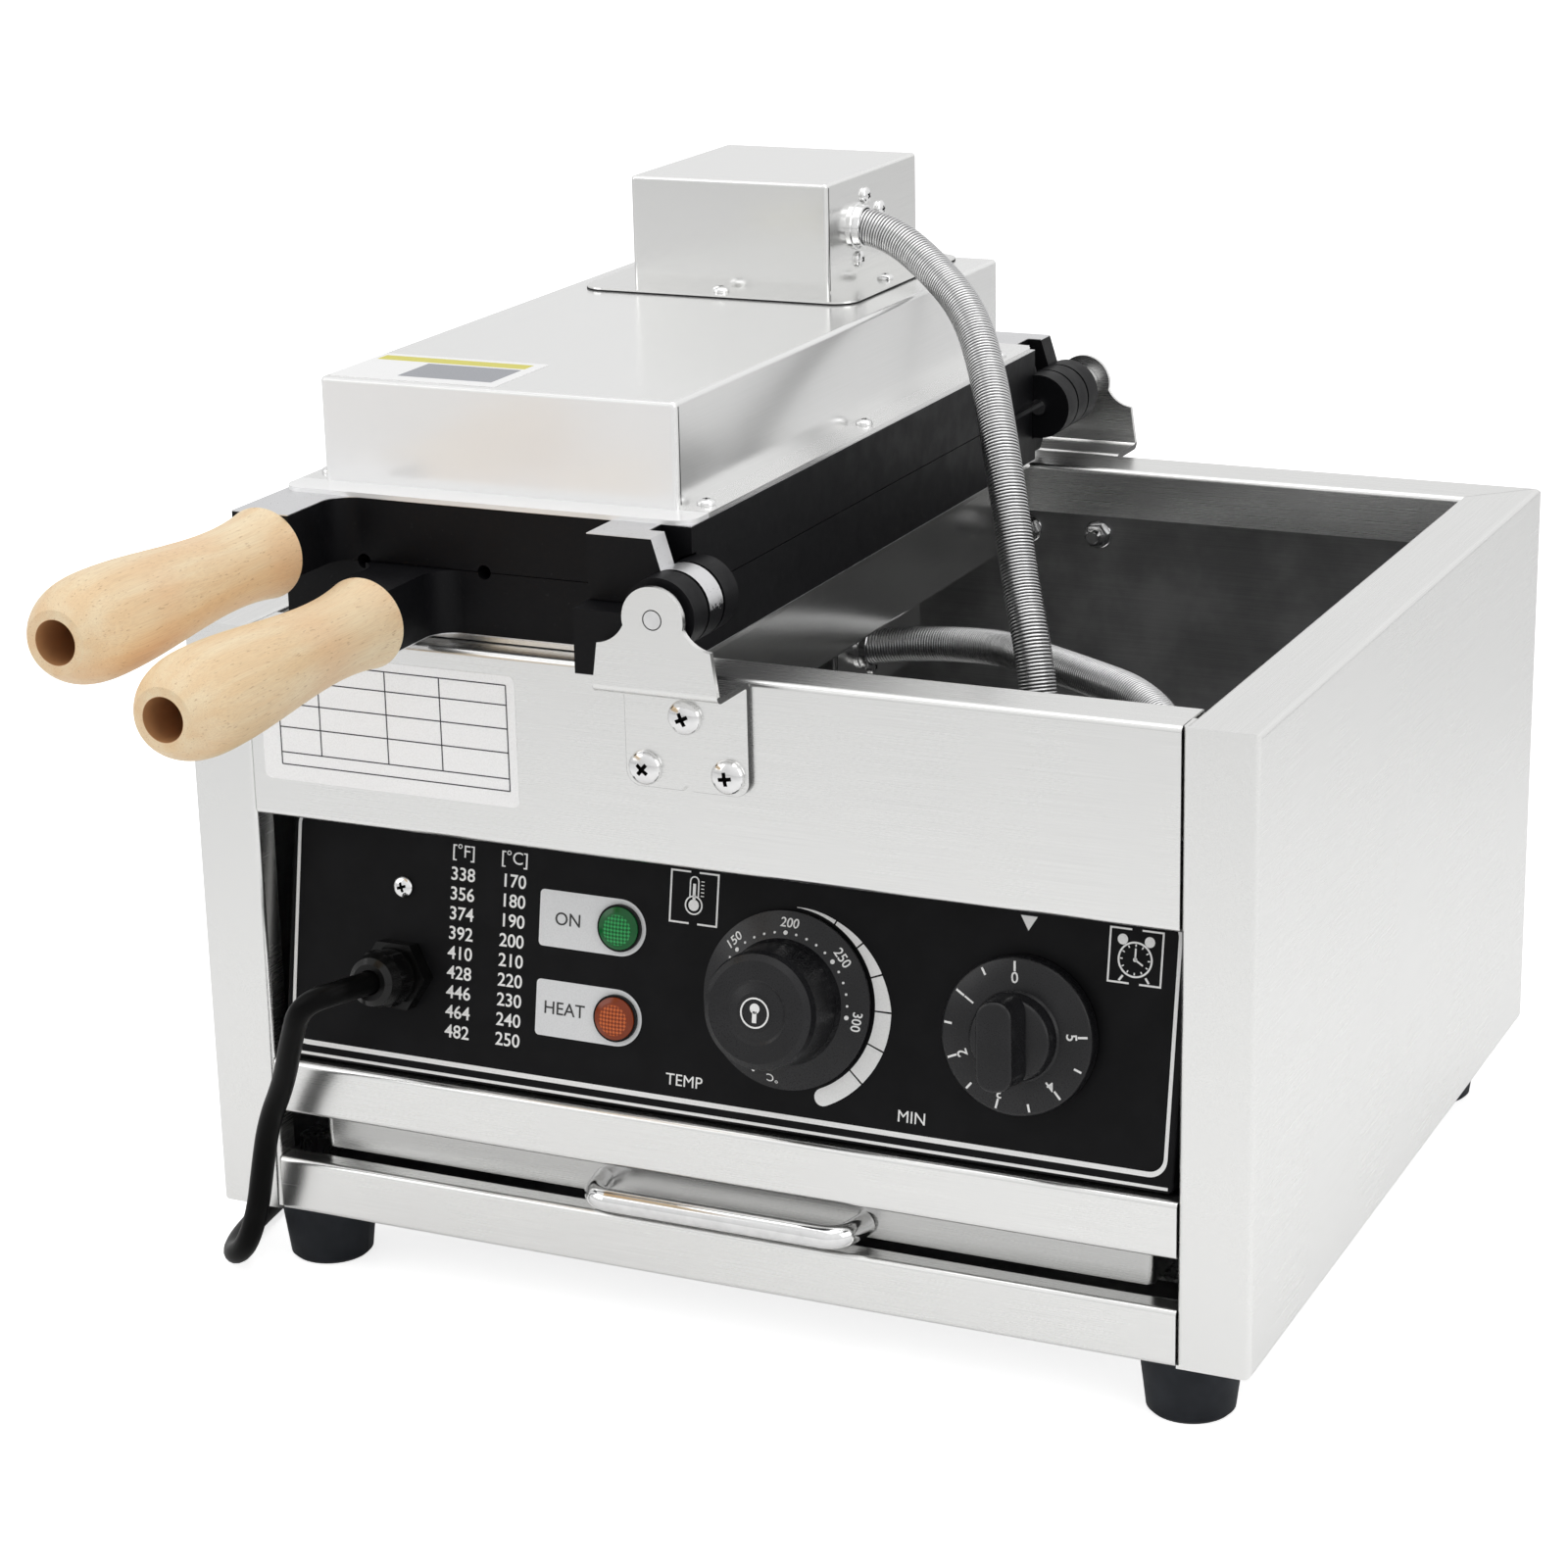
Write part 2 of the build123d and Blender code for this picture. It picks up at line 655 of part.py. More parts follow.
def rear_spacer():
    """Sleeve that keeps the plates forward on the rear pin."""
    start = knuckle_span(1, 2)[1] + 0.4
    stop = ear_rear_y - bracket_sheet - 0.2
    sleeve = rod((0, start, pin_z), (0, 1, 0), 6.0, stop - start)
    return sleeve - rod((0, start - 1, pin_z), (0, 1, 0), pin_radius + 0.05, stop - start + 2)


# ---------------------------------------------------------------- plates
# Each piece of a plate is drawn for the upper plate; the lower one is its mirror image
# in the parting plane, with its own knuckles and handle.

plate_back = pin_z + plate_thickness
cover_top = plate_back + cover_flange + cover_height
cover_front = plate_front + cover_front_inset
cover_rear = plate_rear - cover_rear_inset
parting_plane = Plane(origin=(0, 0, pin_z), x_dir=(1, 0, 0), z_dir=(0, 0, 1))


def on_plate(shape, name):
    """A piece drawn for the upper plate, put on the named plate."""
    return shape if name == "upper" else mirror(shape, about=parting_plane)


def cavity(x):
    """Tapered cone pocket with raised rings, as a full turn about the parting plane."""
    mouth_y = plate_front + cavity_front_wall
    outline = [(0, 0), (cavity_mouth_radius, 0)]
    pitch = cavity_length / cavity_rings
    taper = (cavity_mouth_radius - cavity_tip_radius) / cavity_length
    for i in range(cavity_rings):
        start = i * pitch + (pitch - ring_width) / 2
        for along, depth in ((0, 0), (ring_depth, 1), (ring_width - ring_depth, 1), (ring_width, 0)):
            here = start + along
            outline.append((cavity_mouth_radius - taper * here + depth * ring_depth, here))
    outline += [(cavity_tip_radius, cavity_length), (0, cavity_length)]
    place = Plane(origin=(x, mouth_y, pin_z), x_dir=(1, 0, 0), z_dir=(0, 1, 0))
    pocket = turned(outline, place)
    vent = rod((x, plate_front - 1, pin_z), (0, 1, 0), vent_radius, 20)
    return pocket + vent


def knuckle(end, index, low):
    """One knuckle with its web, bored for the pin."""
    near, far = knuckle_span(end, index)
    crest = pin_z + knuckle_radius * 0.93
    web = Polyline((lug_left + 2, low), (lug_left + 2, plate_back), (-7.6, plate_back), (-4.5, crest),
                   (0, crest), (0, low), close=True)
    shape = along_y(far) * extrude(make_face(web), amount=far - near, dir=(0, 0, 1))
    return shape + rod((0, near, pin_z), (0, 1, 0), knuckle_radius, far - near)


def casting(name):
    """Half of the mould: plate, handle boss and knuckles in one casting, machined on its face."""
    low = pin_z + parting_gap
    thickness = plate_back - low
    x = grip_x[name]
    boss_left = max(x - boss_width / 2, plate_left)
    outline = Rectangle(plate_right - plate_left, plate_length)
    outline = Pos(plate_center_x, plate_middle_y) * outline
    boss = Pos(x, plate_front - boss_reach / 2 + 5) * Rectangle(boss_width, boss_reach + 10)
    outline += boss
    inside = [v for v in outline.vertices() if abs(v.Y - plate_front) < 0.01 and
              boss_left + 0.5 < v.X < x + boss_width / 2 + 0.01]
    inside += [v for v in outline.vertices() if abs(v.Y - plate_front) < 0.01 and
               plate_left + 0.5 < v.X < boss_left + 0.01]
    outline = fillet(inside, 9)
    plate = Pos(0, 0, low) * extrude(outline, amount=thickness)
    for end in (-1, 1):
        own = own_knuckles[name][end]
        edge = plate_front if end < 0 else plate_rear
        outermost = knuckle_span(end, max(own))[0 if end < 0 else 1]
        y0, y1 = sorted((edge - end * 5, outermost))
        plate += block(lug_left, -knuckle_radius - swing_clearance, y0, y1, low, plate_back)
        for index in own:
            plate += knuckle(end, index, low)
        for index in {0, 1, 2} - set(own):
            near, far = knuckle_span(end, index)
            room = 0.45 * knuckle_play
            plate -= rod((0, near - room, pin_z), (0, 1, 0), knuckle_radius + swing_clearance,
                         far - near + 2 * room)
        start = knuckle_span(end, 1)[0] - 40
        plate -= rod((0, start, pin_z), (0, 1, 0), pin_radius + pin_clearance, 80)
    for i in range(cavity_count):
        plate -= cavity(plate_center_x + (i - (cavity_count - 1) / 2) * cavity_pitch)
    bolt_z = pin_z + grip_rise[name]
    plate -= rod((x, plate_front - boss_reach - 1, bolt_z), (0, 1, 0), bolt_radius + 0.05, 19)
    return on_plate(plate, name)


def heater(name):
    """Tubular heating element bent into a U on the casting's back."""
    z = plate_back + 3.4
    left, right = cover_left + 24, cover_right - 24
    front, rear = cover_front + 22, cover_rear - 22
    points = ((left, front, z), (left, rear, z), (right, rear, z), (right, front, z))
    path = FilletPolyline(*points, radius=30)
    bar = sweep(Plane(origin=path @ 0, z_dir=path % 0) * Circle(3.3), path=path)
    return on_plate(bar, name)


def insulation(name):
    """Fibre pad between the heating element and the cover."""
    pad = block(cover_left + 3, cover_right - 3, cover_front + 3, cover_rear - 3, plate_back + 7,
                cover_top - sheet - seam)
    return on_plate(pad, name)


cover_screw_spots = [
    (x, y)
    for x in ((plate_left + cover_left) / 2 + 0.5, (plate_right + cover_right) / 2 - 0.5)
    for y in (plate_front + 23, plate_middle_y, plate_rear - 23)
]


def cover(name):
    """Deep steel cover with a flat flange screwed to the casting."""
    low = plate_back
    shell = block(cover_left, cover_right, cover_front, cover_rear, low, cover_top)
    shell = fillet([e for e in shell.edges() if abs((e % 0.5).Z) > 0.9], 2.0)
    shell = fillet(shell.faces().sort_by(Axis.Z)[-1].edges(), 1.5)
    flange = Rectangle(plate_right - plate_left, plate_length + 1)
    flange = fillet(flange.vertices(), 7)
    shell += Pos(plate_center_x, plate_middle_y, low) * extrude(flange, amount=cover_flange)
    shell -= block(cover_left + sheet, cover_right - sheet, cover_front + sheet, cover_rear - sheet,
                   low - 1, cover_top - sheet)
    for x, y in cover_screw_spots:
        shell -= rod((x, y, low - 1), (0, 0, 1), 1.55, 4)
    wires = ((box_left + box_right) / 2, (box_front + box_rear) / 2)
    shell -= rod((wires[0], wires[1], cover_top - 3), (0, 0, 1), 16, 6)
    return on_plate(shell, name)


def cover_screws(name):
    """Small pan-head screws of the cover's flange, tapped into the casting's rim."""
    screw = pan_screw(2.9, 1.9, 1.5, cover_flange - 0.1)
    low = plate_back + cover_flange
    return [on_plate(Pos(x, y, low) * screw, name) for x, y in cover_screw_spots]


box_rear_flange = 8.0
box_screw_spots = [
    ((box_left + box_right) / 2, box_front - box_flange / 2),
    (box_right + box_flange / 2, (box_front + box_rear) / 2 - 7),
    (box_left - box_flange / 2, (box_front + box_rear) / 2 - 7),
]


def terminal_box(name):
    """Square cap over the wiring, with a flange on the cover and a port for the conduit."""
    low = cover_top
    high = cover_top + box_height
    box = block(box_left, box_right, box_front, box_rear, low, high)
    box = fillet([e for e in box.edges() if abs((e % 0.5).Z) > 0.9], 1.5)
    box = fillet(box.faces().sort_by(Axis.Z)[-1].edges(), 1.2)
    width = box_right - box_left + 2 * box_flange
    depth = box_rear - box_front + box_flange + box_rear_flange
    flange = fillet(Rectangle(width, depth).vertices(), 9)
    center = ((box_left + box_right) / 2, (box_front - box_flange + box_rear + box_rear_flange) / 2)
    box += Pos(center[0], center[1], low) * extrude(flange, amount=sheet)
    box -= block(box_left + sheet, box_right - sheet, box_front + sheet, box_rear - sheet, low - 1, high - sheet)
    box -= rod((box_right - 4, conduit_y, cover_top + conduit_rise), (1, 0, 0), 5.0, 8)
    for x, y in box_screw_spots:
        box -= rod((x, y, low - 1), (0, 0, 1), 1.55, 4)
    return on_plate(box, name)


def box_screws(name):
    """Small pan-head screws of the terminal box's flange."""
    screw = pan_screw(2.9, 1.9, 1.5, sheet - 0.1)
    return [on_plate(Pos(x, y, cover_top + sheet) * screw, name) for x, y in box_screw_spots]


fitting_plate = 1.6
fitting_gap = 1.3             # between a conduit's end and the plate of its fitting


def conduit_fitting(start, direction):
    """Flanged collar that takes the end of a conduit."""
    bore = conduit_radius + 0.9
    outline = ((5.0, 0), (11.0, 0), (11.0, fitting_plate), (9.2, fitting_plate), (8.8, 4.4), (bore, 4.4),
               (bore, fitting_plate), (5.0, fitting_plate))
    place = Plane(origin=start, z_dir=direction)
    return turned(outline, place)


def box_fitting(name):
    """Conduit collar on the terminal box."""
    start = (box_right, conduit_y, cover_top + conduit_rise)
    return on_plate(conduit_fitting(start, (1, 0, 0)), name)


def bulkhead_fittings():
    """Conduit collars on the bulkhead."""
    return [conduit_fitting((x, bulkhead_y, z), (0, 1, 0)) for x, z in conduit_ports.values()]


def grip(name):
    """Turned beech grip with a waist, a belly and a bore for its bolt."""
    root = Plane(origin=(grip_x[name], plate_front - boss_reach, pin_z + grip_rise[name]), z_dir=(0, -1, 0))
    profile = Spline(
        (grip_root_radius, 0),
        (grip_neck_radius, 0.22 * grip_length),
        ((grip_neck_radius + grip_belly_radius) / 2, 0.5 * grip_length),
        (grip_belly_radius, 0.78 * grip_length),
        (0.85 * grip_belly_radius, 0.94 * grip_length),
        (grip_end_radius, grip_length),
    )
    bolt_bore = bolt_radius + 0.15
    floor = grip_length - grip_bore_depth
    edges = [
        profile,
        Line((grip_end_radius, grip_length), (grip_bore, grip_length)),
        Line((grip_bore, grip_length), (grip_bore, floor)),
        Line((grip_bore, floor), (bolt_bore, floor)),
        Line((bolt_bore, floor), (bolt_bore, 0)),
        Line((bolt_bore, 0), (grip_root_radius, 0)),
    ]
    face = Plane.XZ * make_face(edges)
    return on_plate(root * revolve(face, Axis.Z, 360), name)


def handle_bolt(name):
    """Bolt from the floor of the grip's bore into the boss."""
    root_y = plate_front - boss_reach
    floor_y = root_y - grip_length + grip_bore_depth
    z = pin_z + grip_rise[name]
    x = grip_x[name]
    shank = rod((x, floor_y, z), (0, 1, 0), bolt_radius, root_y - floor_y + 16)
    washer = rod((x, floor_y, z), (0, -1, 0), grip_bore - 0.5, 1.2)
    head = Plane(origin=(x, floor_y - 1.2, z), z_dir=(0, -1, 0)) * hexagon(10, 4)
    return on_plate(shank + washer + head, name)


# ---------------------------------------------------------------- drip tray

def drip_tray():
    """Shallow tray on the runners under the well."""
    tray = block(-tray_half_width, tray_half_width, tray_front_y, tray_rear_y, tray_floor_z,
                 tray_floor_z + tray_height)
    tray = fillet([e for e in tray.edges() if abs((e % 0.5).Z) > 0.9], 3.0)
    tray -= block(-tray_half_width + tray_sheet, tray_half_width - tray_sheet, tray_front_y + tray_sheet,
                  tray_rear_y - tray_sheet, tray_floor_z + tray_sheet, tray_floor_z + tray_height + 1)
    for x in (-tray_handle_pitch / 2, tray_handle_pitch / 2):
        tray -= rod((tray_handle_x + x, tray_front_y - 1, tray_handle_z), (0, 1, 0), 2.1, 3)
    return tray


def tray_handle():
    """Bright bow handle of round bar."""
    left = tray_handle_x - tray_handle_pitch / 2
    right = tray_handle_x + tray_handle_pitch / 2
    out = tray_front_y - tray_handle_reach
    points = [(left, tray_front_y), (left + 3, out), (right - 3, out), (right, tray_front_y)]
    path = FilletPolyline(*[(x, y, tray_handle_z) for x, y in points], radius=8)
    start = Plane(origin=path @ 0, z_dir=(0, -1, 0))
    bar = sweep(start * Circle(tray_handle_radius), path=path)
    return bar - block(left - 9, right + 9, tray_front_y, tray_front_y + 9, tray_handle_z - 9, tray_handle_z + 9)


def tray_handle_screws():
    """Screws of the tray's handle, from inside the tray."""
    screw = pan_screw(3.6, 2.2, 2.0, tray_sheet)
    return [
        Plane(origin=(tray_handle_x + x, tray_front_y + tray_sheet, tray_handle_z), z_dir=(0, 1, 0)) * screw
        for x in (-tray_handle_pitch / 2, tray_handle_pitch / 2)
    ]


# ---------------------------------------------------------------- feet

def foot_places():
    """Where the feet stand."""
    return [(x, y) for x in (-foot_x, foot_x) for y in (-foot_y, foot_y)]


def feet():
    """Tapered rubber feet with a recess for the screw's head."""
    bore = 3.2
    outline = (
        (7.5, 0), (foot_bottom_radius - 1.2, 0), (foot_bottom_radius, 1.2),
        (foot_top_radius, foot_height), (bore, foot_height), (bore, 6), (7.5, 6),
    )
    return [Pos(x, y, 0) * turned(outline) for x, y in foot_places()]


def foot_screws():
    """Screw and nut of each foot."""
    base_top = foot_height + 2 * sheet
    pieces = []
    for x, y in foot_places():
        head = Pos(0, 0, 2.5) * Cylinder(6.2, 3.5, align=CENTERED_LOW)
        shank = Pos(0, 0, 2.5) * Cylinder(3.0, base_top + 4.5, align=CENTERED_LOW)
        nut = Pos(0, 0, base_top) * hexagon(10, 4)
        pieces.append(Pos(x, y, 0) * (head + shank + nut))
    return pieces


# ---------------------------------------------------------------- conduits and cord

def conduit_route(name):
    """Hand-laid route of a conduit, from its terminal box to the bulkhead."""
    port_x, port_z = conduit_ports[name]
    start_x = fitting_plate + fitting_gap
    end_y = bulkhead_y + fitting_plate + fitting_gap
    rise = plate_thickness + cover_flange + cover_height + conduit_rise
    if name == "upper":
        exit_run = [(start_x, 0, 0), (13.5, 0, -1.7), (31.8, -6, -11.9)]
        exit_z = pin_z + rise
        run = [
            (10.7, 43.6, 312.3), (24, 27.4, 294.4), (34.1, 12.1, 275.5), (42.7, 0.3, 254.7),
            (51, -11.1, 230.6), (60.1, -22.7, 211.1), (65.7, -29.1, 186.2), (66.1, -36.3, 153.9),
            (64.5, -48, 131), (63, -67, 119.5),
        ]
    else:
        exit_run = [(start_x, 0, 0), (17.5, 0, 2.7)]
        exit_z = pin_z - rise
        run = [
            (0, 60.5, 184.6), (20.4, 50, 187.8), (35.6, 33.6, 191), (51, 21.2, 192.4), (74, 5, 193.3),
            (93, -8, 193.4), (110, -24, 188.5), (121, -43, 177), (126, -66, 160.5),
        ]
    start = [(box_right + x, conduit_y + y, exit_z + z) for x, y, z in exit_run]
    return start + run + [(port_x, end_y, port_z)]


def power_cord_route():
    """Hand-laid route of the free cord, from the gland to the coil behind the machine."""
    floor = cord_radius + 0.2
    return [
        panel_point(gland_x, gland_rise, cord_start + 0.3), panel_point(gland_x, gland_rise, 36),
        (-129.5, -200, 117.5), (-138, -194, 101), (-147, -186, 82), (-157.5, -181, 64),
        (-162.5, -179, 46), (-166, -178.5, 29), (-172, -178, 14), (-182, -172, floor + 2),
        (-190, -157, floor), (-195, -132, floor), (-199, -90, floor), (-201.5, -25, floor),
        (-201, 50, floor), (-197, 115, floor), (-188, 167, floor), (-170, 212, floor),
        (coil_center[0] - coil_turn_radius - cord_radius, coil_center[1], floor),
    ]


def cord_coil():
    """Outer shape of the coiled part of the cord."""
    half = coil_turns_wide * cord_radius
    height = coil_turns_high * 2 * cord_radius
    ring = Cylinder(coil_turn_radius + half, height, align=CENTERED_LOW)
    ring -= Pos(0, 0, -1) * Cylinder(coil_turn_radius - half, height + 2, align=CENTERED_LOW)
    return Pos(coil_center[0], coil_center[1], 0.2) * ring


def plug():
    """Plain round two-pin plug lying beside the coil, with its strain relief."""
    radius = 17.0
    start = coil_center[0] + 14
    y = coil_center[1] + coil_turn_radius + cord_radius
    place = Plane(origin=(start, y, radius + 0.2), z_dir=(1, 0, 0))
    outline = ((0, 0), (5.2, 0), (6.8, 30), (9, 32), (14, 38), (radius, 46), (radius, 66), (0, 66))
    body = turned(outline, place)
    for side in (-9.5, 9.5):
        body += place * Pos(side, 0, 66) * Cylinder(2.4, 19, align=CENTERED_LOW)
    return body


# ---------------------------------------------------------------- assembly

conduits = {name: tube(conduit_route(name), conduit_radius) for name in ("upper", "lower")}
cord_tube, cord_radii, cord_run = tube(power_cord_route(), cord_radius)
coil_run = coil_turns_wide * coil_turns_high * 2 * math.pi * coil_turn_radius
print("cord radii", [round(r, 1) for r in cord_radii])
print("cord tube", round(cord_run, 1), "coil", round(coil_run, 1), "together", round(cord_run + coil_run, 1))
print("tube volume over section times length",
      round(cord_tube.volume / (math.pi * cord_radius ** 2 * cord_run), 4))
for conduit_name, (solid, radii, run) in conduits.items():
    print(conduit_name, "conduit", round(run, 1), "radii", [round(r, 1) for r in radii],
          round(solid.volume / (math.pi * conduit_radius ** 2 * run), 4))

nodes = {
    "right_side_panel": side_panel(),
    "left_side_panel": mirror(side_panel(), about=Plane.YZ),
    "front_apron": front_apron(),
    "rear_panel": rear_panel(),
    "base_plate": base_plate(),
    "bulkhead": bulkhead(),
    "trim_strip": trim_strip(),
    "bottom_rail": bottom_rail(),
    "tray_runners": tray_runners(),
    "control_panel": control_panel(),
    "panel_screw": on_panel(gland_x, panel_screw_rise) * pan_screw(3.7, 2.2, 1.85, 9, cross=3.4),
    "green_lens": lens(lamp_rises[0]),
    "amber_lens": lens(lamp_rises[1]),
    "lamp_holders": lamp_holders(),
    "thermostat_body": thermostat_body(),
    "thermostat_shaft": knob_shaft(thermostat_x),
    "thermostat_knob": thermostat_knob(),
    "timer_body": timer_body(),
    "timer_shaft": knob_shaft(timer_x),
    "timer_knob": timer_knob(),
    "cable_gland": cable_gland(),
    "gland_locknut": gland_locknut(),
    "terminal_block": terminal_block(),
    "hinge_brackets": [hinge_bracket(), to_rear(hinge_bracket())],
    "bracket_screws": bracket_screw_set() + [to_rear(s) for s in bracket_screw_set()],
    "bracket_nuts": bracket_nut_set() + [to_rear(s) for s in bracket_nut_set()],
    "front_hinge_pin": hinge_pin(-1),
    "rear_hinge_pin": hinge_pin(1),
    "rear_spacer": rear_spacer(),
    "bulkhead_fittings": bulkhead_fittings(),
    "feet": feet(),
    "foot_screws": foot_screws(),
    "drip_tray": drip_tray(),
    "tray_handle": tray_handle(),
    "tray_handle_screws": tray_handle_screws(),
    "power_cord": cord_tube,
    "cord_coil": cord_coil(),
    "plug": plug(),
}
plate_pieces = {
    "casting": casting,
    "heater": heater,
    "insulation": insulation,
    "cover": cover,
    "cover_screws": cover_screws,
    "terminal_box": terminal_box,
    "box_screws": box_screws,
    "conduit_fitting": box_fitting,
    "grip": grip,
    "handle_bolt": handle_bolt,
}
for plate_name in ("lower", "upper"):
    for piece_name, make in plate_pieces.items():
        nodes[f"{plate_name}_{piece_name}"] = make(plate_name)
nodes["upper_conduit"] = conduits["upper"][0]
nodes["lower_conduit"] = conduits["lower"][0]


def solids_of(shape):
    """The separate solids of a piece or of a list of pieces."""
    shapes = shape if isinstance(shape, list) else [shape]
    return [solid for item in shapes for solid in item.solids()]


for node_name, shape in nodes.items():
    moved = [solid.moved(Location((0, y_shift, 0))) for solid in solids_of(shape)]
    whole = moved[0] if len(moved) == 1 else Compound(children=moved)
    export_step(whole, f"parts/{node_name}.step")
print(len(nodes), "nodes; the origin lies", round(y_shift, 2), "mm along Y from the housing's middle")
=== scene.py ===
"""Waffle cone maker: an open steel housing that carries two hinged, book-like baking plates."""

import json
import math

import bmesh
import bpy
from mathutils import Matrix, Vector


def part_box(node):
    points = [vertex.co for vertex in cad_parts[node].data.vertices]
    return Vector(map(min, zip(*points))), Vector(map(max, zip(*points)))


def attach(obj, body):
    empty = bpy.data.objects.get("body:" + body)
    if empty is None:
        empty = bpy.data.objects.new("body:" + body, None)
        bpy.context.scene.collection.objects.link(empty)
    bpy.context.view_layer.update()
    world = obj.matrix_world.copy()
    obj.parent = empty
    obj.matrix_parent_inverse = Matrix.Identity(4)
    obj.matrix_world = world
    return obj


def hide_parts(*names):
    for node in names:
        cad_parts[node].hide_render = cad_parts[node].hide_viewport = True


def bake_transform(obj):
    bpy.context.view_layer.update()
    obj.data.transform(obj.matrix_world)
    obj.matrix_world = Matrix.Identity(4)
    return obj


bl_info = {
    "name": "Waffle cone maker",
    "version": (1, 0, 0),
    "blender": (4, 5, 0),
    "location": "3D View > Sidebar > Cone maker",
    "description": "Builds the visible pieces and finishes of a waffle cone maker around its packed solids",
    "category": "Object",
}

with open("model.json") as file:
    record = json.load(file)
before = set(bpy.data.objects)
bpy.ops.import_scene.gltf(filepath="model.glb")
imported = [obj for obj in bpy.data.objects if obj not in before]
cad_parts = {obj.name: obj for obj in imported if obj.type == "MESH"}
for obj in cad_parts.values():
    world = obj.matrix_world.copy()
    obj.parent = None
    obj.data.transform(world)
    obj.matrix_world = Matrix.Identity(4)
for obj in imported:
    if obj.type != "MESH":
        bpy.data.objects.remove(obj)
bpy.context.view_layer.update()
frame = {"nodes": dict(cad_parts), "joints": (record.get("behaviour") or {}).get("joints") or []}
nodes = frame["nodes"]

MM = 0.001
HERE = Matrix.Identity(4)     # place of a shape that stays where it is drawn
UP = (0, 0, 1)

X, Y, Z = range(3)
LOW, HIGH = range(2)


def edge(name, axis, end):
    """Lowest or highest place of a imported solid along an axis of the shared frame, in millimetres."""
    return round(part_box(name)[end][axis] / MM, 2)


# Millimetres: across and height in the shared frame, depth from the middle of the housing to the back.
SHIFT_Y = (edge("front_apron", Y, LOW) + edge("rear_panel", Y, HIGH)) / 2    # middle of the housing
FRONT_Y = edge("front_apron", Y, LOW) - SHIFT_Y          # its back lies as far behind the middle
HALF_WIDTH = edge("right_side_panel", X, HIGH)
HOUSING_TOP = edge("right_side_panel", Z, HIGH)
SHEET = 1.2                   # thickness of the steel
WELL_EDGE = 21.5              # from the housing's outside to just behind the lip of a flange
PILLAR_DEPTH = 17.0
BRACKET_HALF = edge("hinge_brackets", X, HIGH)
BRACKET_LOW = edge("hinge_brackets", Z, LOW)
BRACKET_REACH = edge("front_apron", Y, LOW) - edge("hinge_brackets", Y, LOW)
BRACKET_CORNER = 5.0
PIN_Z = next(joint for joint in frame["joints"] if joint["name"] == "turn_plates")["pos_m"][Z] / MM
PLATE_BACK = edge("upper_casting", Z, HIGH)
LUG_FRONT, LUG_BACK, LUG_LEFT = -174.1, -164.6, -8.4     # bare face beside the front pin
COVER_FOOT = PLATE_BACK + 1.5                            # top of the upper cover's flange
COVER_TOP = edge("upper_cover", Z, HIGH)
COVER_FRONT = -143.8
COVER_RIGHT = -13.0
BOX_TOP = edge("upper_terminal_box", Z, HIGH)
BOX_RIGHT = -41.5
GRIP_AXES = ((-141.9, 265.9), (-105.8, 245.9))           # across, height
GRIP_BORE = 7.1
PANEL_FOOT = (0.0, -163.0, 85.0)
PANEL_LEAN = math.radians(10.07)

# Middles on the control panel: X, height up the slope.
THERMOSTAT = (27.3, 41.0)
TIMER = (108.0, 41.0)
GLAND = (-116.2, 31.0)
PANEL_SCREW = (-116.2, 60.6)
LAMP_X = -34.2
LAMP_RISES = (56.8, 26.6)

STEEL = (0.80, 0.80, 0.79)
PRINT_WHITE = (0.95, 0.95, 0.94)
BLACK = (0.0, 0.0, 0.0)
WHITE = (1.0, 1.0, 1.0)
LENS_PITCH = 2.5              # of the moulded squares in a lamp's lens
LENS_FIELD = (4.9, 5.3)       # radii between which the squares fade into the plain rim
EDGE_SHADE_DEPTH = 0.06               # depth of the painted shade on a cut edge


# ------------------------------------------------------------------ places

def spot(x, y, z):
    """Point in the shared frame: across, depth from the middle of the housing and height."""
    return Vector((x * MM, (y + SHIFT_Y) * MM, z * MM))


def facing(origin, normal, right=(1, 0, 0)):
    """Place whose Z axis is a normal and whose X axis lies near a right-hand direction."""
    z = Vector(normal).normalized()
    x = (Vector(right) - z * Vector(right).dot(z)).normalized()
    y = z.cross(x)
    turn = Matrix((x, y, z)).transposed().to_4x4()
    return Matrix.Translation(origin) @ turn @ Matrix.Scale(MM, 4)


def on_panel(x, rise, out=0.0):
    """Place on the leaning control panel: X to the right, Y up the slope, Z out of the face."""
    up = Vector((0, math.sin(PANEL_LEAN), math.cos(PANEL_LEAN)))
    normal = Vector((0, -math.cos(PANEL_LEAN), math.sin(PANEL_LEAN)))
    foot = Vector(PANEL_FOOT) + Vector((x, 0, 0)) + up * rise + normal * out
    return facing(spot(*foot), normal)


def on_dial(x, rise, radius, height, angle, slope=0.0):
    """Place on a dial of the panel: X along the dial's edge, Y outward, Z out of its sloping face."""
    turn, tip = math.radians(angle), math.radians(slope)
    outward = Vector((math.cos(turn), math.sin(turn), 0))
    z = outward * math.sin(tip) + Vector((0, 0, math.cos(tip)))
    x_axis = Vector((math.sin(turn), -math.cos(turn), 0))
    local = Matrix((x_axis, z.cross(x_axis), z)).transposed().to_4x4()
    local.translation = outward * radius + Vector((0, 0, height))
    return on_panel(x, rise) @ local


def turned_by(place, degrees):
    """A place turned about its own Z axis."""
    return place @ Matrix.Rotation(math.radians(degrees), 4, "Z")


def on_plate(place, name):
    """A place drawn for the upper plate, put on the named one: the lower plate is its mirror image."""
    if name == "upper":
        return place
    flip = Matrix.Translation((0, 0, 2 * PIN_Z * MM)) @ Matrix.Scale(-1, 4, UP)
    return flip @ place


# ------------------------------------------------------------------ finishes

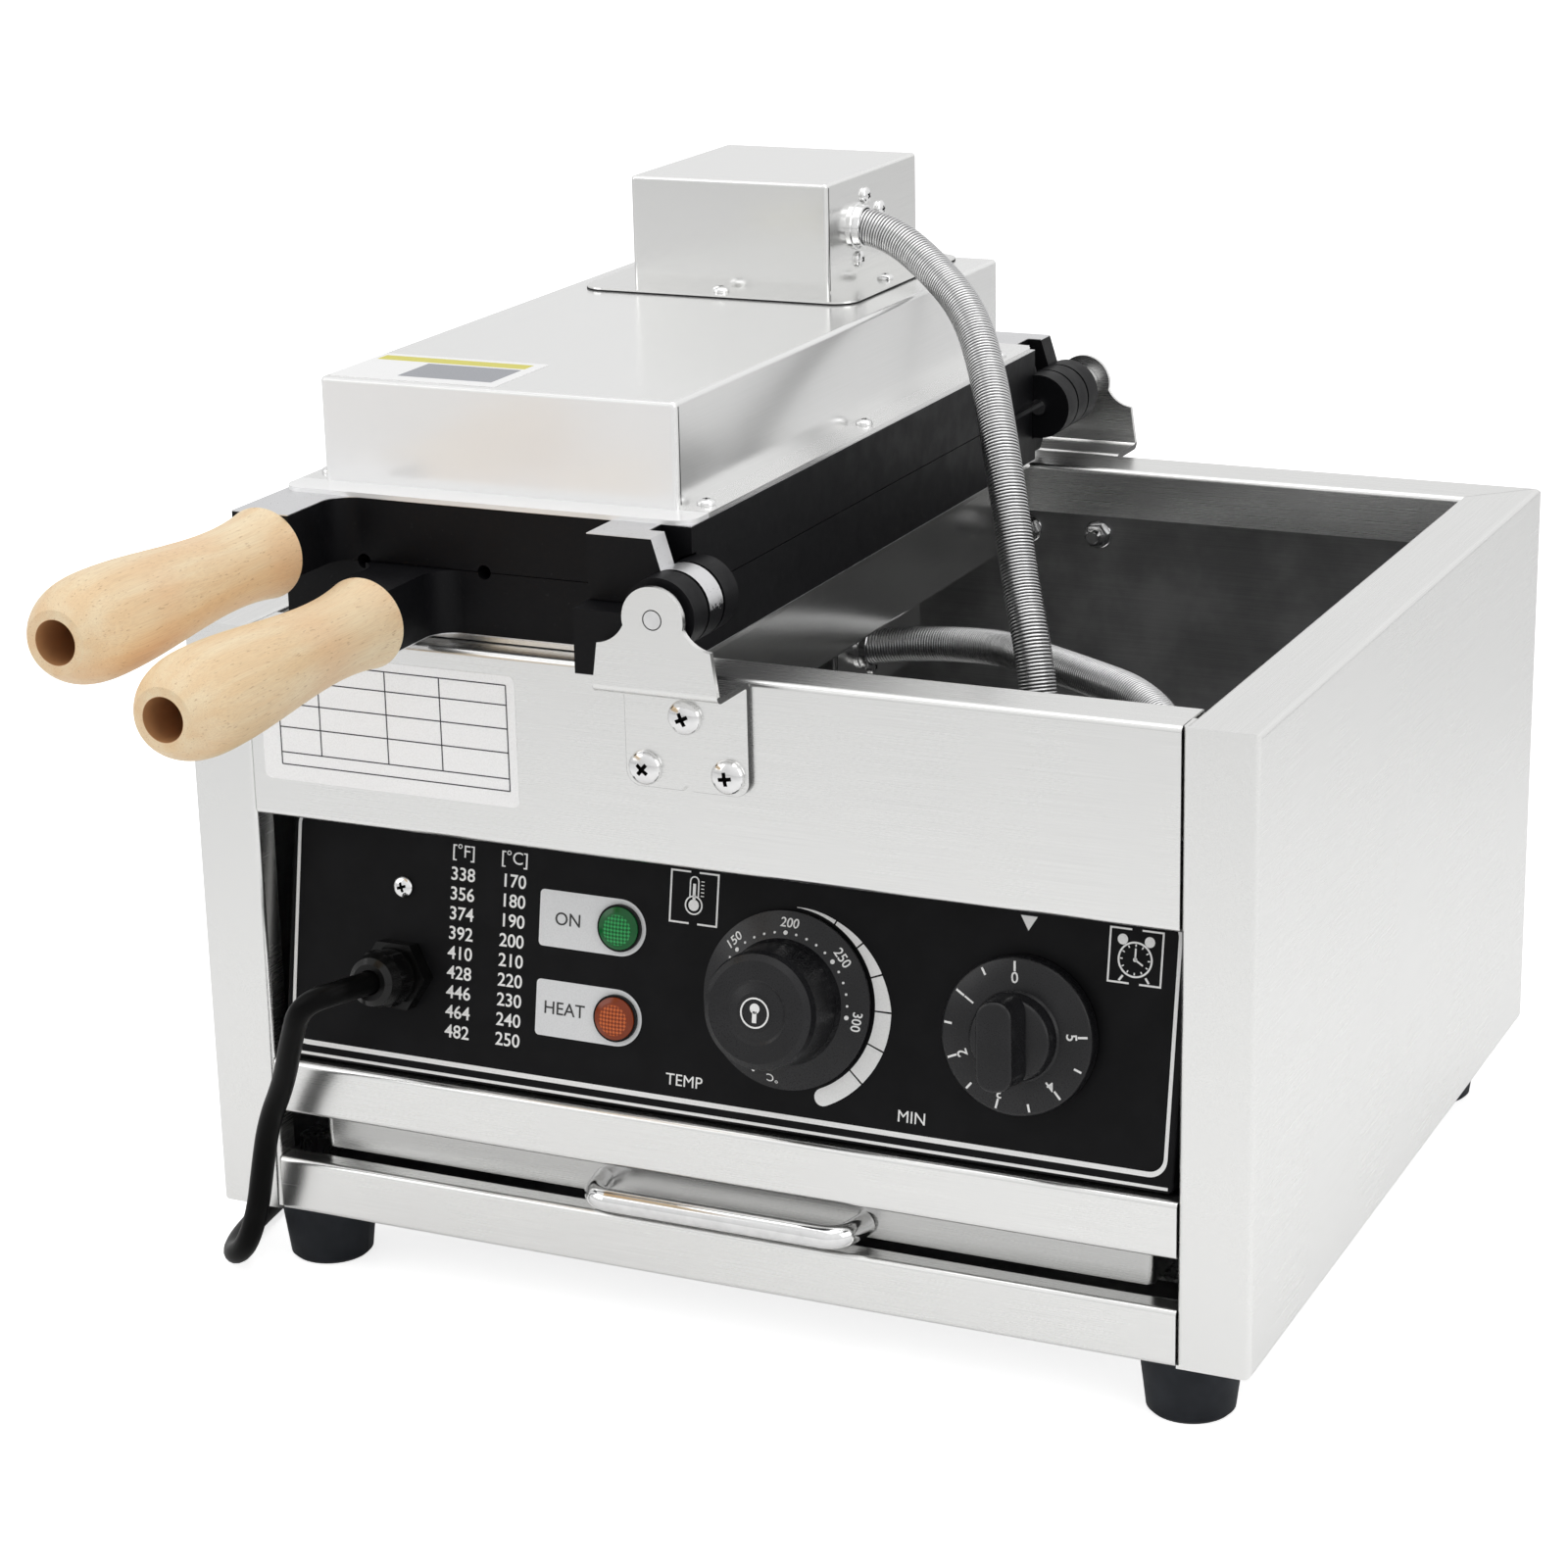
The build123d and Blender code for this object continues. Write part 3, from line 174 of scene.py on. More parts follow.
class Wire:
    """Output of a shader node that takes part in Python's arithmetic."""

    def __init__(self, finish, socket):
        self.finish = finish
        self.socket = socket

    def _maths(self, operation, first, second):
        """One step of arithmetic; numbers alone never reach it."""
        return self.finish.node("ShaderNodeMath", {"operation": operation}, {0: first, 1: second})

    def __add__(self, other):
        return self._maths("ADD", self, other)

    def __radd__(self, other):
        return self._maths("ADD", other, self)

    def __sub__(self, other):
        return self._maths("SUBTRACT", self, other)

    def __rsub__(self, other):
        return self._maths("SUBTRACT", other, self)

    def __mul__(self, other):
        return self._maths("MULTIPLY", self, other)

    def __rmul__(self, other):
        return self._maths("MULTIPLY", other, self)

    def __or__(self, other):
        """Either of two masks."""
        return 1 - (1 - self) * (1 - other)

    def __abs__(self):
        return self.finish.node("ShaderNodeMath", {"operation": "ABSOLUTE"}, {0: self})

    def __gt__(self, other):
        return self._maths("GREATER_THAN", self, other)

    def __lt__(self, other):
        return self._maths("LESS_THAN", self, other)


class Graph:
    """Node tree that is written as arithmetic."""

    def __init__(self, tree):
        self.tree = tree

    def feed(self, socket, value):
        """Links a wire to a socket, or sets the socket's own value."""
        if isinstance(value, Wire):
            self.tree.links.new(value.socket, socket)
        elif socket.type == "RGBA":
            socket.default_value = (*value[:3], 1.0)
        else:
            socket.default_value = value

    def node(self, kind, settings=None, sockets=None, output=0):
        """Any node: its settings first, then the values or links of its sockets."""
        made = self.tree.nodes.new(kind)
        for key, value in (settings or {}).items():
            setattr(made, key, value)
        for key, value in (sockets or {}).items():
            self.feed(made.inputs[key], value)
        return None if output is None else Wire(self, made.outputs[output])

    def points(self, scale=(1, 1, 1), middle=(0, 0, 0)):
        """Object coordinates in millimetres, centred and stretched."""
        place = self.node("ShaderNodeTexCoord", output="Object")
        centred = self.node("ShaderNodeVectorMath", {"operation": "SUBTRACT"}, {0: place, 1: middle})
        sizes = tuple(s / MM for s in scale)
        return self.node("ShaderNodeMapping", {"vector_type": "POINT"}, {"Vector": centred, "Scale": sizes})

    def axes(self, vector):
        """The three numbers of a vector."""
        outputs = self.node("ShaderNodeSeparateXYZ", None, {0: vector}).socket.node.outputs
        return [Wire(self, output) for output in outputs]

    def rays(self, kind):
        """Whether the light path is of a kind, such as Camera or Glossy."""
        return self.node("ShaderNodeLightPath", output="Is " + kind + " Ray")

    def noise(self, vector, scale=1.0, detail=3.0, roughness=0.5):
        """Soft cloudy value from 0 to 1."""
        return self.node("ShaderNodeTexNoise", {"noise_dimensions": "3D"},
                         {"Vector": vector, "Scale": scale, "Detail": detail, "Roughness": roughness})

    def step(self, value, low, high, to_low=0.0, to_high=1.0):
        """Value taken from one range to another, held at its ends."""
        return self.node("ShaderNodeMapRange", {"clamp": True, "interpolation_type": "SMOOTHSTEP"},
                         {"Value": value, "From Min": low, "From Max": high,
                          "To Min": to_low, "To Max": to_high})

    def mix(self, share, first, second):
        """Colour between two colours."""
        return self.node("ShaderNodeMix", {"data_type": "RGBA", "blend_type": "MIX"},
                         {0: share, 6: first, 7: second}, 2)


class Finish(Graph):
    """Material in the making."""

    def __init__(self, name, colour=(0.8, 0.8, 0.8), roughness=0.5, metallic=0.0, **sockets):
        self.material = bpy.data.materials.new(name)
        self.material.use_nodes = True
        super().__init__(self.material.node_tree)
        self.shader = self.tree.nodes["Principled BSDF"]
        self.material.diffuse_color = (*colour, 1.0)
        self.set("Base Color", colour)
        self.set("Roughness", roughness)
        self.set("Metallic", metallic)
        for key, value in sockets.items():
            self.set(key.replace("_", " "), value)

    def set(self, socket, value):
        """Feeds one of the shader's own sockets."""
        self.feed(self.shader.inputs[socket], value)

    def bump(self, height, strength, distance=0.1):
        """Feeds the normal from a height in millimetres."""
        bumped = self.node("ShaderNodeBump", None,
                           {"Height": height, "Strength": strength, "Distance": distance * MM})
        self.set("Normal", bumped)


def shaded(colour, share):
    """A colour made lighter or darker."""
    return tuple(min(1.0, c * share) for c in colour)


def brushed_steel(name, along, colour, rough, dull_and_shaded=None, cut=None, painted_sheen=None):
    """Satin stainless sheet with fine streaks along one axis.

    Masks pick out the dull faces inside the well, which also get a painted shade, the cut edges, painted dark
    as shade, and the faces with a painted sheen, paler and less metallic in place of their bright
    reflections.
    """
    finish = Finish(name, colour, rough, 1.0)
    stretch = {"X": (0.02, 4.0, 4.0), "Y": (4.0, 0.02, 4.0)}[along]
    streaks = finish.noise(finish.points(stretch), 1.0, 3.0, 0.6)
    place = finish.points()
    axes = finish.axes(place)
    clouds = finish.noise(place, 0.02, 2.0, 0.5)
    tone = finish.step(streaks, 0.3, 0.7)
    shade = finish.mix(tone, shaded(colour, 0.96), shaded(colour, 1.03))
    roughness = streaks * 0.05 + clouds * 0.05 + (rough - 0.05)
    # Inside the well the sheet is duller and less metallic, and its colour falls to a mottled painted shade.
    if dull_and_shaded:
        mask = dull_and_shaded(finish, *axes)
        shade_mottle = finish.step(finish.noise(place, 0.035, 4.0, 0.55), 0.3, 0.7)
        well_shade = finish.mix(shade_mottle * 0.7 + tone * 0.3, (0.23, 0.23, 0.235), (0.42, 0.42, 0.425))
        shade = finish.mix(mask, shade, well_shade)
        roughness = roughness + mask * 0.14
        finish.set("Metallic", 1 - mask * 0.45)
    # Cut edges painted dark, as shade.
    if cut:
        shade = finish.mix(cut(finish, *axes), shade, (0.06, 0.06, 0.06))
    # Painted sheen: these faces turn paler and less metallic in place of their bright reflections.
    if painted_sheen:
        mask = painted_sheen(finish, *axes)
        shade = finish.mix(mask, shade, (0.95, 0.95, 0.95))
        finish.set("Metallic", 1 - mask * 0.85)
    finish.set("Base Color", shade)
    finish.set("Roughness", roughness)
    finish.bump(streaks, 0.04, 0.02)
    return finish.material


def bright_plate(name, colour=(0.80, 0.80, 0.80), rough=0.09):
    """Polished plated steel with faint handling marks."""
    finish = Finish(name, colour, rough, 1.0)
    marks = finish.noise(finish.points(), 0.25, 4.0, 0.6)
    finish.set("Roughness", finish.step(marks, 0.35, 0.75, rough * 0.7, rough * 1.8))
    finish.set("Base Color", finish.mix(finish.step(marks, 0.3, 0.8), colour, shaded(colour, 0.9)))
    return finish.material


def coated_casting(name, bare):
    """Sand-cast metal under a black high-temperature coating, with a mask for its bare, worn faces."""
    finish = Finish(name, (0.008, 0.008, 0.009), 0.42, 0.0, Specular_IOR_Level=0.13)
    place = finish.points()
    sand = finish.noise(place, 1.6, 5.0, 0.65)
    swell = finish.noise(place, 0.12, 3.0, 0.5)
    rubbed = finish.step(finish.noise(place, 0.5, 5.0, 0.7), 0.62, 0.74)
    worn = bare(finish, *finish.axes(place)) * finish.step(sand, 0.30, 0.36)
    coat = finish.mix(rubbed, (0.005, 0.005, 0.006), (0.018, 0.018, 0.020))
    finish.set("Base Color", finish.mix(worn, coat, (0.70, 0.70, 0.71)))
    finish.set("Metallic", worn)
    finish.set("Roughness", finish.step(swell, 0.3, 0.7, 0.38, 0.47) + sand * 0.08 - worn * 0.1)
    finish.bump(sand * 0.7 + swell * 2.0, 0.55, 0.12)
    return finish.material


def moulded(name, colour, rough=0.4, grain=0.12, gloss=0.14):
    """Moulded plastic or rubber with a fine spark-eroded grain."""
    finish = Finish(name, colour, rough, Specular_IOR_Level=gloss)
    place = finish.points()
    fine = finish.noise(place, 2.4, 4.0, 0.6)
    broad = finish.noise(place, 0.08, 2.0, 0.5)
    finish.set("Base Color", finish.mix(finish.step(broad, 0.3, 0.75), colour, shaded(colour, 1.5)))
    finish.set("Roughness", finish.step(fine, 0.3, 0.7, rough * 0.85, rough * 1.15))
    finish.bump(fine, grain, 0.05)
    return finish.material


def turned_beech():
    """Oiled beech with its grain along Y: soft growth bands, short dark flecks and painted shade in the
    bores.
    """
    finish = Finish("turned_beech", (0.76, 0.55, 0.34), 0.45, 0.0, Specular_IOR_Level=0.3)
    bands = finish.noise(finish.points((0.16, 0.012, 0.16)), 1.0, 3.0, 0.55)
    fibres = finish.noise(finish.points((3.2, 0.07, 3.2)), 1.0, 3.0, 0.6)
    flecks = finish.noise(finish.points((1.7, 0.27, 1.7)), 1.0, 2.0, 0.45)
    blush = finish.noise(finish.points(), 0.022, 1.0, 0.5)
    body = finish.mix(finish.step(bands, 0.32, 0.70), (0.98, 0.81, 0.55), (0.93, 0.69, 0.42))
    body = finish.mix(finish.step(blush, 0.45, 0.75) * 0.5, body, (0.90, 0.57, 0.33))
    body = finish.mix(finish.step(fibres, 0.35, 0.75) * 0.3, body, (0.62, 0.40, 0.22))
    pores = finish.step(flecks, 0.64, 0.71)
    body = finish.mix(pores * 0.5, body, (0.55, 0.33, 0.17))
    x, _, z = finish.axes(finish.points())
    # Painted shade inside the bores.
    bore_shade = 0
    for middle_x, middle_z in GRIP_AXES:
        reach = (x - middle_x) * (x - middle_x) + (z - middle_z) * (z - middle_z)
        bore_shade = bore_shade + (reach < GRIP_BORE ** 2)
    body = finish.mix(bore_shade, body, (0.52, 0.27, 0.12))
    finish.set("Base Color", body)
    finish.set("Roughness", finish.step(fibres, 0.3, 0.7, 0.38, 0.5))
    finish.bump(fibres * 0.4 - pores, 0.25, 0.08)
    return finish.material


def wound_strip():
    """Bright wound steel strip of the flexible conduits, with painted shade in the groove where one turn
    meets the next.
    """
    finish = Finish("wound_strip", (0.74, 0.74, 0.74), 0.2, 1.0)
    marks = finish.noise(finish.points(), 0.3, 4.0, 0.6)
    groove_shade = finish.node("ShaderNodeAttribute", {"attribute_name": "groove_shade"}, None, "Fac")
    strip = finish.mix(finish.step(marks, 0.3, 0.75), (0.88, 0.88, 0.88), (0.76, 0.76, 0.77))
    # Painted shade in the grooves between the turns.
    finish.set("Base Color", finish.mix(groove_shade, strip, (0.04, 0.04, 0.04)))
    finish.set("Roughness", finish.step(marks, 0.3, 0.75, 0.18, 0.3) + groove_shade * 0.3)
    return finish.material


def lamp_plastic(name, colour, deep, middle):
    """Clear coloured lens: a plain rim round a field of fine moulded squares, with a faint painted glow."""
    finish = Finish(name, colour, 0.2, 0.0, Specular_IOR_Level=0.35)
    x, _, z = finish.axes(finish.points(middle=tuple(middle)))
    turns = [finish.node("ShaderNodeMath", {"operation": "SINE"}, {0: axis * (2 * math.pi / LENS_PITCH)})
             for axis in (x + z, x - z)]
    squares = finish.step(turns[0] * turns[1], -0.25, 0.35)
    full, plain = LENS_FIELD
    field = finish.step(x * x + z * z, full ** 2, plain ** 2, 1.0, 0.0)
    grid = squares * field
    shade = finish.mix(grid, deep, colour)
    finish.set("Base Color", shade)
    # Painted glow: the unlit lens gives off a little of its own colour.
    finish.set("Emission Color", shade)
    finish.set("Emission Strength", 0.06)
    finish.bump(grid, 0.6, 0.3)
    return finish.material


def fibre_board(name, colour):
    """Pressed mineral fibre."""
    finish = Finish(name, colour, 0.95)
    fibres = finish.noise(finish.points(), 0.9, 5.0, 0.7)
    finish.set("Base Color", finish.mix(finish.step(fibres, 0.3, 0.7), shaded(colour, 0.8), colour))
    finish.bump(fibres, 0.6, 0.3)
    return finish.material


def printed(name, colour, rough=0.5, metal=0.0):
    """Screen-printed ink or a printed film, silvered or plain, with slight unevenness."""
    finish = Finish(name, colour, rough, metal)
    speckle = finish.noise(finish.points(), 2.0, 3.0, 0.6)
    finish.set("Base Color", finish.mix(finish.step(speckle, 0.35, 0.7), colour, shaded(colour, 0.93)))
    finish.set("Roughness", finish.step(speckle, 0.3, 0.7, rough * 0.9, rough * 1.1))
    return finish.material


# ------------------------------------------------------------------ faces that look different
# Each mask takes the finish and its three axes in millimetres, and is 1 on its own faces.

def inside_wall(finish, across, depth, height):
    """Side walls of the well, behind the front pillars."""
    apart = abs(across)
    wall = (apart < HALF_WIDTH - SHEET / 2) * (apart > HALF_WIDTH - WELL_EDGE)
    return wall * (height < HOUSING_TOP - SHEET) * (depth > SHIFT_Y + FRONT_Y + PILLAR_DEPTH)


def inside_rear(finish, across, depth, height):
    """Rear wall of the well."""
    behind = depth - SHIFT_Y
    wall = (behind < -FRONT_Y - SHEET / 2) * (behind > -FRONT_Y - WELL_EDGE)
    return wall * (height < HOUSING_TOP - SHEET)


def all_over(finish, across, depth, height):
    """Every face of a sheet inside the well."""
    return height > -1.0


def bracket_edge(finish, across, depth, height):
    """Painted shade on the cut edges of a bracket's plate, with its round lower corners."""
    apart = abs(across)
    out = apart - (BRACKET_HALF - BRACKET_CORNER)
    down = BRACKET_LOW + BRACKET_CORNER - height
    rim = out * out + down * down > (BRACKET_CORNER - EDGE_SHADE_DEPTH) ** 2
    corner = (out > 0) * (down > 0) * rim
    return (apart > BRACKET_HALF - EDGE_SHADE_DEPTH) | (height < BRACKET_LOW + EDGE_SHADE_DEPTH) | corner


def cover_faces(finish, across, depth, height):
    """Painted sheen on the upper cover, its front more than the rest, and on the top of its terminal box."""
    front = depth < SHIFT_Y + COVER_FRONT + SHEET / 2
    cover = (height > PIN_Z) * (height < COVER_TOP + SHEET / 2)
    return cover * (front * 0.6 + 0.4) + (height > BOX_TOP - SHEET / 2) * 0.4


def upper_bare(finish, across, depth, height):
    """Machined back of the upper casting, and the worn face of its front lug."""
    lug = (depth < SHIFT_Y + LUG_BACK) * (depth > SHIFT_Y + LUG_FRONT) * (across > LUG_LEFT)
    wear = finish.noise(finish.points(), 0.9, 4.0, 0.6)
    lug = lug * (height + wear * 9.0 > PIN_Z + 5.0)
    return lug | (height > PLATE_BACK - 0.3)


def lower_bare(finish, across, depth, height):
    """Machined back of the lower casting."""
    return height < 2 * PIN_Z - PLATE_BACK + 0.3


# ------------------------------------------------------------------ shapes

def as_mesh(shape, name="shape"):
    """Mesh of a shape, which is used up."""
    mesh = bpy.data.meshes.new(name)
    shape.to_mesh(mesh)
    shape.free()
    return mesh


def as_shape(mesh):
    """Shape of a mesh, which is used up."""
    shape = bmesh.new()
    shape.from_mesh(mesh)
    bpy.data.meshes.remove(mesh)
    return shape


def drawn(curve):
    """Mesh that a curve or a text draws; the curve is used up."""
    holder = bpy.data.objects.new("holder", curve)
    mesh = bpy.data.meshes.new_from_object(holder)
    bpy.data.objects.remove(holder)
    bpy.data.curves.remove(curve)
    return mesh


def put(shape, place):
    """A shape moved to its place, its faces still outward where the place mirrors it."""
    shape.transform(place)
    if place.determinant() < 0:
        bmesh.ops.reverse_faces(shape, faces=shape.faces)
    return shape


def raised(shape, height):
    """Flat faces drawn up into a solid."""
    lifted = bmesh.ops.extrude_face_region(shape, geom=shape.faces[:])
    tops = [v for v in lifted["geom"] if isinstance(v, bmesh.types.BMVert)]
    bmesh.ops.translate(shape, verts=tops, vec=(0, 0, height))
    bmesh.ops.recalc_face_normals(shape, faces=shape.faces)
    return shape


def arc(middle, radius, angles):
    """Points of an arc in the XY plane, at angles in degrees."""
    turns = [math.radians(angle) for angle in angles]
    return [(middle[0] + radius * math.cos(t), middle[1] + radius * math.sin(t)) for t in turns]


def spun(outline, place, steps=64, closed=False):
    """Skin of revolution about a place's Z axis; the outline is (radius, height) points in millimetres."""
    shape = bmesh.new()
    points = [shape.verts.new((radius, 0, height)) for radius, height in outline]
    edges = [shape.edges.new(pair) for pair in zip(points, points[1:])]
    if closed:
        edges.append(shape.edges.new((points[-1], points[0])))
    bmesh.ops.spin(shape, geom=points + edges, cent=(0, 0, 0), axis=(0, 0, 1), dvec=(0, 0, 0),
                   angle=2 * math.pi, steps=steps, use_merge=True)
    bmesh.ops.remove_doubles(shape, verts=shape.verts, dist=1e-4)
    bmesh.ops.recalc_face_normals(shape, faces=shape.faces)
    return put(shape, place)


def prism(outline, low, high, place, soft=0.0, segments=2):
    """Flat outline of (x, y) points drawn up from low to high, with its upper edge rounded."""
    shape = bmesh.new()
    shape.faces.new([shape.verts.new((x, y, low)) for x, y in outline])
    raised(shape, high - low)
    if soft:
        crown = [e for e in shape.edges if all(v.co.z > high - 1e-6 for v in e.verts)]
        bmesh.ops.bevel(shape, geom=crown, offset=soft, offset_type="OFFSET", segments=segments,
                        profile=0.5, affect="EDGES", material=-1)
    return put(shape, place)


def rounded_box(width, height, radius, middle=(0, 0), steps=6):
    """Outline of a rectangle with round corners."""
    points = []
    for turn, (sx, sy) in enumerate(((1, 1), (-1, 1), (-1, -1), (1, -1))):
        corner = (middle[0] + sx * (width / 2 - radius), middle[1] + sy * (height / 2 - radius))
        points += arc(corner, radius, [90 * turn + 90 * i / steps for i in range(steps + 1)])
    return points


def join(*shapes):
    """Several shapes in one."""
    whole = bmesh.new()
    for shape in shapes:
        mesh = as_mesh(shape)
        whole.from_mesh(mesh)
        bpy.data.meshes.remove(mesh)
    return whole


def copies(shape, places):
    """One shape repeated at several places."""
    master = as_mesh(shape)
    whole = bmesh.new()
    for place in places:
        mesh = master.copy()
        mesh.transform(place)
        if place.determinant() < 0:
            mesh.flip_normals()
        whole.from_mesh(mesh)
        bpy.data.meshes.remove(mesh)
    bpy.data.meshes.remove(master)
    return whole


def carved(shape, tool):
    """A shape with a tool's shape cut out of it; the faces of the cut take the second finish."""
    for face in tool.faces:
        face.material_index = 1
    parts = []
    for source in (shape, tool):
        mesh = as_mesh(source)
        mesh.materials.append(None)
        mesh.materials.append(None)
        part = bpy.data.objects.new("carving", mesh)
        bpy.context.scene.collection.objects.link(part)
        parts.append(part)
    cut = parts[0].modifiers.new("cut", "BOOLEAN")
    cut.operation = "DIFFERENCE"
    cut.solver = "EXACT"
    cut.object = parts[1]
    evaluated = parts[0].evaluated_get(bpy.context.evaluated_depsgraph_get())
    whole = as_shape(bpy.data.meshes.new_from_object(evaluated))
    for part in parts:
        mesh = part.data
        bpy.data.objects.remove(part)
        bpy.data.meshes.remove(mesh)
    return whole


def lettering(words, height, place, thickness):
    """Raised print on a place's XY plane; numbers are drawn a little bolder than words."""
    curve = bpy.data.curves.new("print", "FONT")
    curve.body = words
    curve.size = height
    curve.align_x = "CENTER"
    curve.align_y = "CENTER"
    curve.extrude = thickness / 2
    curve.offset = height * 0.010 if words.isdigit() else 0
    curve.resolution_u = 4
    mesh = drawn(curve)
    mesh.transform(place @ Matrix.Translation((0, 0, thickness / 2)))
    shape = as_shape(mesh)
    bmesh.ops.remove_doubles(shape, verts=shape.verts, dist=1e-7)
    return shape


def bar(x0, x1, y0, y1, place, thick):
    """Printed bar between two corners."""
    return prism(((x0, y0), (x1, y0), (x1, y1), (x0, y1)), 0.0, thick, place)


def ring(radius, width, place, thick):
    """Printed ring about a place's Z axis."""
    outline = ((radius - width, 0), (radius, 0), (radius, thick), (radius - width, thick))
    return spun(outline, place, 48, closed=True)


def dot(radius, place, thick):
    """Printed round spot."""
    return spun(((0, 0), (radius, 0), (radius, thick), (0, thick)), place, 16)


def stroke(points, width, place, thick):
    """Printed line of even width through a few points."""
    outline = [Vector(p) for p in points]
    left, right = [], []
    for i, point in enumerate(outline):
        runs = []
        if i:
            runs.append((point - outline[i - 1]).normalized())
        if i < len(outline) - 1:
            runs.append((outline[i + 1] - point).normalized())
        way = sum(runs, Vector((0, 0))).normalized()
        reach = width / 2 / max(0.3, way.dot(runs[0]))
        across = Vector((-way.y, way.x)) * reach
        left.append(point + across)
        right.append(point - across)
    return prism([tuple(p) for p in right + left[::-1]], 0.0, thick, place)


def piece(name, shape, finish, body, replaces=(), crease=35.0):
    """Shown piece from a shape: its finish or finishes, the body it rides on and what it stands for."""
    mesh = as_mesh(shape, name)
    mesh.polygons.foreach_set("use_smooth", [True] * len(mesh.polygons))
    mesh.set_sharp_from_angle(angle=math.radians(crease))
    made = bpy.data.objects.new(name, mesh)
    bpy.context.scene.collection.objects.link(made)
    for each in finish if isinstance(finish, tuple) else (finish,):
        mesh.materials.append(each)
    if body:
        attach(made, body)
    if replaces:
        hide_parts(*replaces)
    return made


def paint(names, finish):
    """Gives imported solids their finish."""
    for name in names:
        node = nodes[name]
        node.data.materials.clear()
        node.data.materials.append(finish)


# ------------------------------------------------------------------ lines

def line_curve(name, kind, points):
    """Curve of one open spline with the given points; a NURBS spline runs smoothly between them."""
    curve = bpy.data.curves.new(name, "CURVE")
    curve.dimensions = "3D"
    spline = curve.splines.new(kind)
    spline.points.add(len(points) - 1)
    for place, point in zip(spline.points, points):
        place.co = (*point, 1.0)
    if kind == "NURBS":
        spline.order_u = 3
        spline.use_endpoint_u = True
    spline.resolution_u = 12
    spline.use_smooth = True
    return curve


def smooth_line(points):
    """Points read from the smooth line that a listed route controls."""
    mesh = drawn(line_curve("line", "NURBS", points))
    line = [v.co.copy() for v in mesh.vertices]
    bpy.data.meshes.remove(mesh)
    return line


def evenly(line, pitch):
    """The line's points again, a pitch apart."""
    run, total = [0.0], 0.0
    for a, b in zip(line, line[1:]):
        total += (b - a).length
        run.append(total)
    count = max(2, round(total / pitch))
    spread, k = [], 0
    for i in range(count + 1):
        here = total * i / count
        while k < len(run) - 2 and run[k + 1] < here:
            k += 1
        share = (here - run[k]) / max(run[k + 1] - run[k], 1e-12)
        spread.append(line[k].lerp(line[k + 1], share))
    return spread


def ribbed_tube(line, radius, pattern, segments=12):
    """Tube along even points that repeats pairs of radius share and painted groove shade; an attribute keeps
    the shade.
    """
    curve = line_curve("tube", "POLY", line)
    curve.bevel_depth = radius
    curve.bevel_resolution = segments - 2
    for i, place in enumerate(curve.splines[0].points):
        place.radius = pattern[i % len(pattern)][0]
    shape = as_shape(drawn(curve))
    groove_shade = shape.verts.layers.float.new("groove_shade")
    around = len(shape.verts) // len(line)
    for i, vert in enumerate(shape.verts):
        vert[groove_shade] = pattern[i // around % len(pattern)][1]
    bmesh.ops.holes_fill(shape, edges=[e for e in shape.edges if e.is_boundary])
    bmesh.ops.recalc_face_normals(shape, faces=shape.faces)
    return shape


# ------------------------------------------------------------------ settings

class MakerSettings(bpy.types.PropertyGroup):
    """Sizes and colours of the pieces that are made here."""

    steel_colour: bpy.props.FloatVectorProperty(
        name="Steel colour", description="Colour of the brushed stainless sheet",
        default=STEEL, subtype="COLOR", min=0.0, max=1.0)
    steel_roughness: bpy.props.FloatProperty(
        name="Steel roughness", description="How dull the brushed sheet is",
        default=0.27, min=0.05, max=0.8, subtype="FACTOR")
    cord_diameter: bpy.props.FloatProperty(
        name="Cord diameter", description="Outer diameter of the power cord",
        default=0.008, unit="LENGTH", min=0.004, max=0.012)
    conduit_radius: bpy.props.FloatProperty(
        name="Conduit radius", description="Outer radius of the flexible conduits",
        default=0.0066, unit="LENGTH", min=0.003, max=0.012)
    conduit_pitch: bpy.props.FloatProperty(
        name="Conduit pitch", description="Distance between two ribs of the wound strip",
        default=0.00118, unit="LENGTH", min=0.0008, max=0.004)
    print_thickness: bpy.props.FloatProperty(
        name="Print thickness", description="Height of the printed marks in millimetres",
        default=0.12, min=0.05, max=0.3)
    floor_colour: bpy.props.FloatVectorProperty(
        name="Floor colour", description="Colour of the studio floor",
        default=(0.93, 0.93, 0.93), subtype="COLOR", min=0.0, max=1.0)


def settings():
    """The scene's own sizes and colours."""
    return bpy.context.scene.cone_maker


# ------------------------------------------------------------------ stage

AZIMUTH, ELEVATION, ROLL = math.radians(25.132), math.radians(17.68), math.radians(-1.327)
CAMERA_SPOT = (0.51229, -1.134414, 0.562094)
CAMERA_LENS = 87.09
LAMPS = (
    # name, position, aim, size, watts
    ("overhead_lamp", (0.2, -0.1, 2.2), (0.0, 0.0, 0.2), 2.2, 18.0),
    ("left_lamp", (-1.9, -1.5, 1.3), (0.0, 0.0, 0.2), 1.6, 11.0),
    ("right_lamp", (2.1, -0.6, 1.1), (0.0, 0.0, 0.2), 1.4, 7.0),
)


